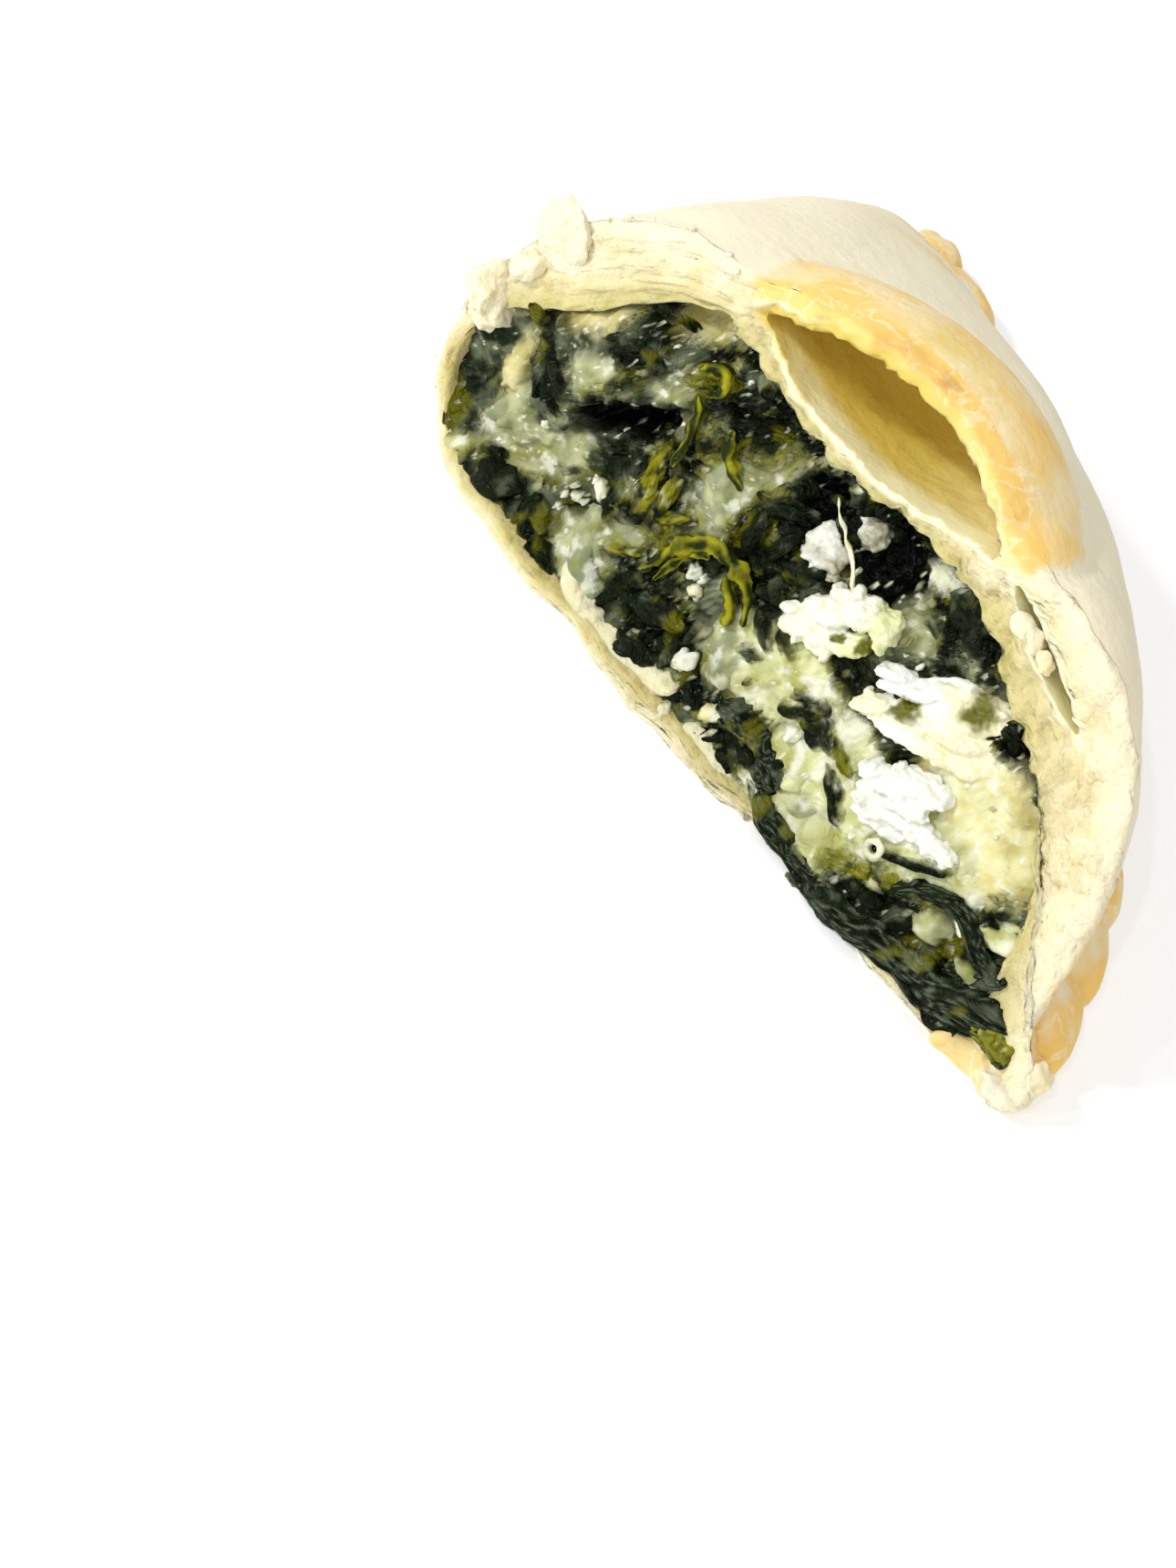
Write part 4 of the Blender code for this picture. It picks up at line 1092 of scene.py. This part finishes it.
# Curds that each piece of feta is made of: x, z, half length, half width, turn and how proud
FETA_CURDS = {
    "feta_crumble_middle": [
        (34.3, 13.6, 2.0, 1.2, 30, 2.2), (36.4, 14.2, 1.9, 1.2, 45, 2.4),
        (35.6, 16.0, 2.2, 1.1, 35, 2.2), (37.2, 17.8, 1.7, 1.3, 45, 2.8),
        (39.2, 18.1, 1.5, 1.3, -40, 2.4), (38.3, 15.4, 1.9, 0.9, 45, 2.2),
        (32.8, 13.8, 1.0, 0.6, 45, 1.8), (33.9, 15.5, 1.0, 0.6, 45, 1.8),
        (35.3, 17.6, 0.9, 0.6, 45, 2.2),
    ],
    "feta_slab": [
        (47.9, 16.0, 5.3, 2.6, 20, 1.5), (48.8, 18.5, 2.7, 2.3, 35, 1.8),
        (47.1, 18.5, 3.4, 1.1, 25, 1.6), (50.5, 15.5, 3.4, 1.5, 25, 1.3),
        (49.4, 16.3, 2.9, 1.5, 35, 1.5), (43.9, 14.1, 2.9, 1.1, 35, 1.9),
        (42.3, 13.4, 1.6, 0.6, 50, 2.0), (42.2, 16.3, 1.6, 0.6, 25, 1.9),
        (43.8, 16.3, 2.4, 0.7, 30, 1.7), (45.0, 13.6, 2.9, 0.6, 25, 1.7),
        (47.0, 13.9, 3.5, 0.6, 20, 1.9),
    ],
    "feta_crumble_white": [
        (47.8, 10.5, 2.3, 1.0, 55, 2.0), (50.2, 12.1, 2.0, 1.0, 25, 2.2),
        (48.9, 8.5, 2.2, 1.2, 30, 2.3), (51.2, 9.7, 2.4, 0.9, 20, 2.4),
        (54.0, 9.8, 1.9, 0.6, 10, 2.0), (47.3, 8.5, 1.2, 0.8, 50, 1.8),
        (49.6, 10.4, 1.7, 0.8, 40, 2.6), (52.6, 9.6, 1.8, 0.6, -10, 2.1),
        (48.2, 11.7, 1.4, 0.6, 30, 2.2), (46.4, 10.2, 1.0, 0.6, 65, 1.8),
        (50.6, 8.0, 1.3, 0.7, 10, 1.9), (51.6, 12.6, 0.8, 0.6, 20, 2.0),
        (50.7, 10.8, 1.4, 0.4, 20, 2.9), (48.6, 10.8, 1.3, 0.4, 35, 2.8),
    ],
    "feta_crumble_small": [
        (31.1, 18.5, 1.6, 1.5, 35, 2.2), (32.3, 18.4, 1.3, 1.1, 50, 2.1),
        (30.7, 18.4, 1.1, 1.0, -85, 2.3), (33.2, 21.2, 1.4, 1.1, 20, 0.6),
    ],
}
# Green stains on it: x, z and reach
FETA_STAINS = [(44.7, 15.2, 1.5), (48.8, 19.3, 1.9), (39.3, 16.4, 1.0), (37.3, 15.6, 0.5)]
LEAF_JUICE = (0.13, 0.13, 0.004)
FETA_WHITE = (0.82, 0.83, 0.76)
FETA_CREAM = (0.80, 0.74, 0.44)
FETA_GREEN = (0.68, 0.70, 0.33)
FETA_GREY = (0.50, 0.48, 0.32)
FETA_DARK = (0.35, 0.336, 0.224)
FETA_STEP = 0.13                    # size of the faces of the feta


def build_feta(name, seed):
    """One crumbly piece of feta: curds fused into one skin, which is then crumbled."""
    rng = np.random.default_rng(40 + seed)
    table = np.array(FETA_CURDS[name])
    table[:, 5] = table[:, 5] * 0.7 + max(face_rise(table[:, 0], table[:, 1]).mean(), 0) * 0.8
    curds = [tuple(curd) for curd in table]
    small = [(x + rng.uniform(-0.9, 0.9) * a, z + rng.uniform(-0.9, 0.9) * b,
              *rng.uniform(0.3, 0.65, 2), rng.uniform(-90, 90), front + rng.uniform(-0.5, 0.1))
             for x, z, a, b, _, front in curds for _ in range(1 if name == "feta_slab" else 3)]
    kind = "curd" if name == "feta_crumble_white" else "cream"
    lumps = [build_lump(kind, *curd, 300 + 20.0 * seed + i) for i, curd in enumerate(curds + small)]
    piece = join(name, lumps)
    for layer in ("mix", "gloss", "wrinkle"):
        piece.data.attributes.remove(piece.data.attributes[layer])
    modify(piece, "REMESH", mode="VOXEL", voxel_size=FETA_STEP * MM)
    points = plan_points(piece)
    relief = 0.12 * grain(lengthwise(points), 0.9, seed, 3)
    relief += 0.10 * grain(points, 0.4, seed + 9, 2)
    place(piece, points + normals_of(piece) * relief[:, None])
    dress_mixture(piece, feta_colour(name, points), 0.35)
    return piece


def lengthwise(points):
    """Places drawn together along the slab's length, so that noise there runs in streaks."""
    return turned(points, 20) * (0.3, 1, 1)


def feta_colour(name, points):
    """White where a piece is fresh curd, and yellow, green or grey where it took up the juice; the
    small piece is darker towards +X.
    """
    x, _, z = points.T
    mottle = smooth(0.5 + 1.2 * grain(lengthwise(points), 1.6, 95.0, 3))
    if name == "feta_crumble_middle":
        share = ramp(x + 1.2 * grain(points, 1.5, 97.0), 37.2, 38.7)
        colour = blend(FETA_WHITE, FETA_GREEN, 0.15 + 0.2 * mottle + 0.65 * share)
    elif name == "feta_slab":
        share = (0.25 + 0.75 * mottle) * ramp(x, 49, 45) + 0.35 * mottle
        colour = blend(FETA_CREAM, FETA_WHITE, share.clip(0, 1))
    elif name == "feta_crumble_white":
        colour = blend(FETA_WHITE, FETA_GREY, 0.25 * mottle)
    else:
        # The small piece is darker past x 33.2, towards its +X end.
        colour = blend(FETA_DARK, FETA_WHITE, ramp(x, 33.2, 32) * (0.35 + 0.5 * mottle))
    colour = blend(colour, FETA_WHITE, 0.25 * ramp(grain(points, 0.45, 98.0, 2), 0, 0.25))
    for stain_x, stain_z, reach in FETA_STAINS:
        away = np.hypot(x - stain_x, z - stain_z) + 0.6 * grain(points, 1.0, 96.0, 3)
        colour = blend(colour, LEAF_JUICE, smooth(1.6 * (1 - away / reach)))
    return colour


# Crumbs

CRUMB_PLACES = 70                   # places tried for crumbs, of which those on cheese are kept
RING_PLACE = (50.8, 6.5)


def build_ring():
    """The small white ring beside the white feta."""
    bpy.ops.mesh.primitive_torus_add(major_segments=48, minor_segments=18, major_radius=1,
                                     minor_radius=0.42)
    ring = bpy.context.object
    across, up, out = points_of(ring).T
    x, z = RING_PLACE
    front = face_rise(np.array([x]), np.array([z]))[0] + 0.8
    points = stack(x + 0.65 * across, tear_y(z) - front + 0.6 * out, z + 0.85 * up)
    points += 0.12 * stack(*(grain(points, 0.8, i, 2) for i in (1, 2, 3)))
    place(ring, points)
    dress_mixture(ring, tint("curd", points, 0.5), 0.5)
    return ring


def build_crumbs():
    """White crumbs of cheese scattered over the torn face."""
    rng = np.random.default_rng(12)
    x, z = rng.uniform(0, 64, CRUMB_PLACES), rng.uniform(1.5, 24, CRUMB_PLACES)
    rise, _, shares, _ = mixture(x, z)
    kept = (rise > -1) & (shares["leaf"] < 0.7) & in_opening(x, z)
    crumbs = []
    for seed, (a, b, front) in enumerate(zip(x[kept], z[kept], rise[kept])):
        size = rng.uniform(0.15, 0.42)
        crumbs.append(build_lump("curd", a, b, size, 0.8 * size, 30.0 * seed,
                                 front + 0.6 * size, 500 + seed))
    return join("cheese_crumbs", crumbs + [build_ring()])


# Finishes

def arithmetic(operation, swapped=False):
    """A method of a signal that adds a Math node."""
    def method(signal, *others):
        values = (*others, signal) if swapped else (signal, *others)
        sockets = dict(enumerate(values))
        return signal.finish.node("ShaderNodeMath", {"operation": operation}, sockets)
    return method


class Signal:
    """A socket of a finish, on which arithmetic can be done."""

    __add__ = __radd__ = arithmetic("ADD")
    __mul__ = __rmul__ = arithmetic("MULTIPLY")
    __sub__ = arithmetic("SUBTRACT")
    __rsub__ = arithmetic("SUBTRACT", swapped=True)
    __pow__ = arithmetic("POWER")
    size = arithmetic("ABSOLUTE")

    def __init__(self, finish, socket):
        self.finish, self.socket = finish, socket

    def over(self, low, high):
        """0 where the signal is at most low, 1 from high on, with a smooth run between."""
        return self.finish.node("ShaderNodeMapRange", {"interpolation_type": "SMOOTHSTEP"},
                                {"Value": self, "From Min": low, "From Max": high})


class Finish:
    """A material whose shader is written as expressions on signals."""

    def __init__(self, name):
        self.material = bpy.data.materials.new(name)
        self.material.use_nodes = True
        self.tree = self.material.node_tree
        self.shader = self.tree.nodes["Principled BSDF"]
        self.place = self.node("ShaderNodeTexCoord", output="Object")

    def node(self, kind, settings=(), sockets=(), output=None):
        made = self.tree.nodes.new(kind)
        for key, value in dict(settings).items():
            setattr(made, key, value)
        for key, value in dict(sockets).items():
            self.feed(made.inputs[key], value)
        outputs = [o for o in made.outputs if o.enabled]
        return Signal(self, made.outputs[output] if output else outputs[0])

    def feed(self, socket, value):
        if isinstance(value, Signal):
            self.tree.links.new(value.socket, socket)
        elif isinstance(value, tuple) and socket.type == "RGBA":
            socket.default_value = (*value, 1)
        else:
            socket.default_value = value

    def speckle(self, size, detail=2.0, distortion=0.0, roughness=0.5):
        """Noise whose blotches are about size millimetres across."""
        return self.node("ShaderNodeTexNoise", (), {
            "Vector": self.place, "Scale": 1 / (size * MM), "Detail": detail,
            "Distortion": distortion, "Roughness": roughness}, output="Fac")

    def marked(self, name, output="Fac"):
        return self.node("ShaderNodeAttribute", {"attribute_name": name}, output=output)

    def blend(self, share, first, second):
        made = self.node("ShaderNodeMix", {"data_type": "RGBA"}, {0: share})
        self.feed(made.socket.node.inputs[6], first)
        self.feed(made.socket.node.inputs[7], second)
        return made

    def bump(self, height, depth, under=None):
        sockets = {"Height": height, "Distance": depth * MM, "Strength": 1.0}
        if under:
            sockets["Normal"] = under
        return self.node("ShaderNodeBump", (), sockets)

    def dress(self, **sockets):
        """Feeds the shader's sockets, named with underscores for spaces."""
        for key, value in sockets.items():
            self.feed(self.shader.inputs[key.replace("_", " ")], value)
        return self.material


CRUMB = (0.84, 0.76, 0.52)
CRUMB_WET = (0.74, 0.64, 0.36)
SOAKED = (0.55, 0.48, 0.19)
FLOURY = (0.88, 0.81, 0.61)
GOLDEN = (0.88, 0.60, 0.20)
CRACKLE = (0.90, 0.72, 0.40)
BROWN = (0.42, 0.19, 0.05)
JUICE = (0.34, 0.31, 0.07)
# Golden dough of a blister's hollow, darker as painted shade deep inside, and the pale colour of
# its painted light.
POCKET_SHADED_GOLD = (0.68, 0.53, 0.13)
POCKET_LIT_PALE = (0.96, 0.91, 0.62)


def pastry_finish():
    dough = Finish("pastry")
    torn, corner, moist, pocket, pale, bake = (dough.marked(name) for name in DOUGH_MARKS)
    blotch, fine = dough.speckle(7, 3), dough.speckle(0.7, 3)
    crackle = (dough.speckle(2.6, 4, 0.6) - 0.5).size().over(0.045, 0.0)
    golden = dough.blend(crackle * dough.speckle(9, 2).over(0.42, 0.58), GOLDEN, CRACKLE)
    skin = dough.blend((bake * (0.6 + blotch * 0.8)).over(0.15, 0.75), FLOURY, golden)
    skin = dough.blend((bake * blotch * 1.6).over(0.75, 1.1), skin, BROWN)
    crumb = dough.blend(dough.speckle(2.2, 3).over(0.35, 0.7), CRUMB, CRUMB_WET)
    crumb = dough.blend(fine.over(0.58, 0.8) * 0.5, crumb, FLOURY)
    # Painted shade deep in a blister's hollow, and painted light on its floor by the mouth and at
    # its +X end.
    wall = dough.blend(pale * (0.5 + dough.speckle(3, 2)), POCKET_SHADED_GOLD, POCKET_LIT_PALE)
    crumb = dough.blend(moist * 0.75, crumb, SOAKED)
    crumb = dough.blend(moist ** 3 * dough.speckle(1.8, 3).over(0.5, 0.7) * 0.5, crumb, JUICE)
    crumb = dough.blend(corner * 0.8, crumb, FLOURY)
    colour = dough.blend(torn, skin, crumb)
    colour = dough.blend(pocket, colour, wall)
    coarse = dough.bump(dough.speckle(1.1, 4) * (1 - pocket * 0.8) * (0.5 + torn * 2), 0.25)
    normal = dough.bump(fine, 0.10, coarse)
    return dough.dress(Base_Color=colour, Roughness=0.62 + fine * 0.25, Normal=normal,
                       Subsurface_Weight=0.25, Subsurface_Radius=(1.0, 0.6, 0.25),
                       Subsurface_Scale=0.0025, IOR=1.4)


def filling_finish():
    mix = Finish("filling")
    gloss, wrinkle = mix.marked("gloss"), mix.marked("wrinkle")
    crease = (mix.speckle(1.7, 3, 0.8) - 0.5).size()
    normal = mix.bump(crease * (0.25 + wrinkle), 1.1)
    normal = mix.bump(mix.speckle(0.9, 5, 0.0, 0.6), 0.13, normal)
    wet = gloss * mix.speckle(2.5, 2).over(0.25, 0.5)
    return mix.dress(Base_Color=mix.marked("mix", "Color"), Roughness=0.55 - wet * 0.46,
                     Normal=normal, Specular_IOR_Level=0.14, Subsurface_Weight=0.12,
                     Subsurface_Radius=(1.0, 0.9, 0.5), Subsurface_Scale=0.0008)


def feta_finish():
    curd = Finish("feta")
    normal = curd.bump(curd.speckle(0.9, 5), 0.22)
    return curd.dress(Base_Color=curd.marked("mix", "Color"), Roughness=0.45, Normal=normal,
                      Subsurface_Weight=0.15, Subsurface_Radius=(1.0, 0.9, 0.6),
                      Subsurface_Scale=0.001)


# Stage, light and camera

def build_stage():
    bpy.ops.mesh.primitive_plane_add(size=6)
    floor = bpy.context.object
    floor.name = "floor"
    paper = Finish("floor")
    floor.data.materials.append(paper.dress(
        Base_Color=(0.90, 0.90, 0.90), Roughness=0.9, Emission_Color=(1.0, 1.0, 1.0),
        Emission_Strength=FLOOR_GLOW))


def add_light(name, where, size, power):
    bpy.ops.object.light_add(type="AREA", location=where)
    lamp = bpy.context.object
    lamp.name = name
    lamp.data.size = size
    lamp.data.energy = power
    lamp.rotation_euler = (Vector(LIGHT_AIM) - lamp.location).to_track_quat("-Z", "Y").to_euler()


def light_scene():
    scene = bpy.context.scene
    scene.world = bpy.data.worlds.new("room light")
    scene.world.use_nodes = True
    background = scene.world.node_tree.nodes["Background"]
    background.inputs["Color"].default_value = (1, 1, 1, 1)
    background.inputs["Strength"].default_value = WORLD_LIGHT
    scene.view_settings.view_transform = "Standard"
    scene.view_settings.look = "Medium High Contrast"
    add_light("window behind", (-0.10, 0.30, 0.40), 0.30, 0.3)
    add_light("raking light", (-0.26, -0.28, 0.27), 0.05, 0.8)
    for i, where in enumerate(GLINTS):
        add_light(f"glint {i}", where, 0.008, 0.16)


def add_camera():
    camera = bpy.data.objects.new("camera", bpy.data.cameras.new("camera"))
    bpy.context.scene.collection.objects.link(camera)
    camera.rotation_mode = "QUATERNION"
    camera.location = Vector(np.array(CAMERA_PLACE) * MM + PLAN_ORIGIN)
    turn = (Vector(CAMERA_AIM) - Vector(CAMERA_PLACE)).to_track_quat("-Z", "Y")
    camera.rotation_quaternion = turn @ Quaternion((0, 0, 1), math.radians(CAMERA_ROLL))
    camera.data.lens = CAMERA_LENS
    camera.data.clip_start = 0.01
    bpy.context.scene.camera = camera


def main():
    pastry, filling, feta = pastry_finish(), filling_finish(), feta_finish()
    finish_piece(build_pastry(), pastry, "pastry", "pastry")
    finish_piece(build_dough_scraps(), pastry, "pastry")
    finish_piece(build_mixture(), filling, "filling", "filling")
    finish_piece(build_lumps(), filling, "filling")
    finish_piece(build_long_leaves(), filling, "filling")
    finish_piece(build_stalks(), filling, "filling")
    finish_piece(build_string(), filling, "filling")
    finish_piece(build_crumbs(), feta, "feta")
    for seed, name in enumerate(FETA_CURDS):
        piece = build_feta(name, seed)
        piece.name = piece.data.name = name.replace("feta_", "white_cheese_")
        finish_piece(piece, feta, "feta", name)
    build_stage()
    light_scene()
    add_camera()


main()
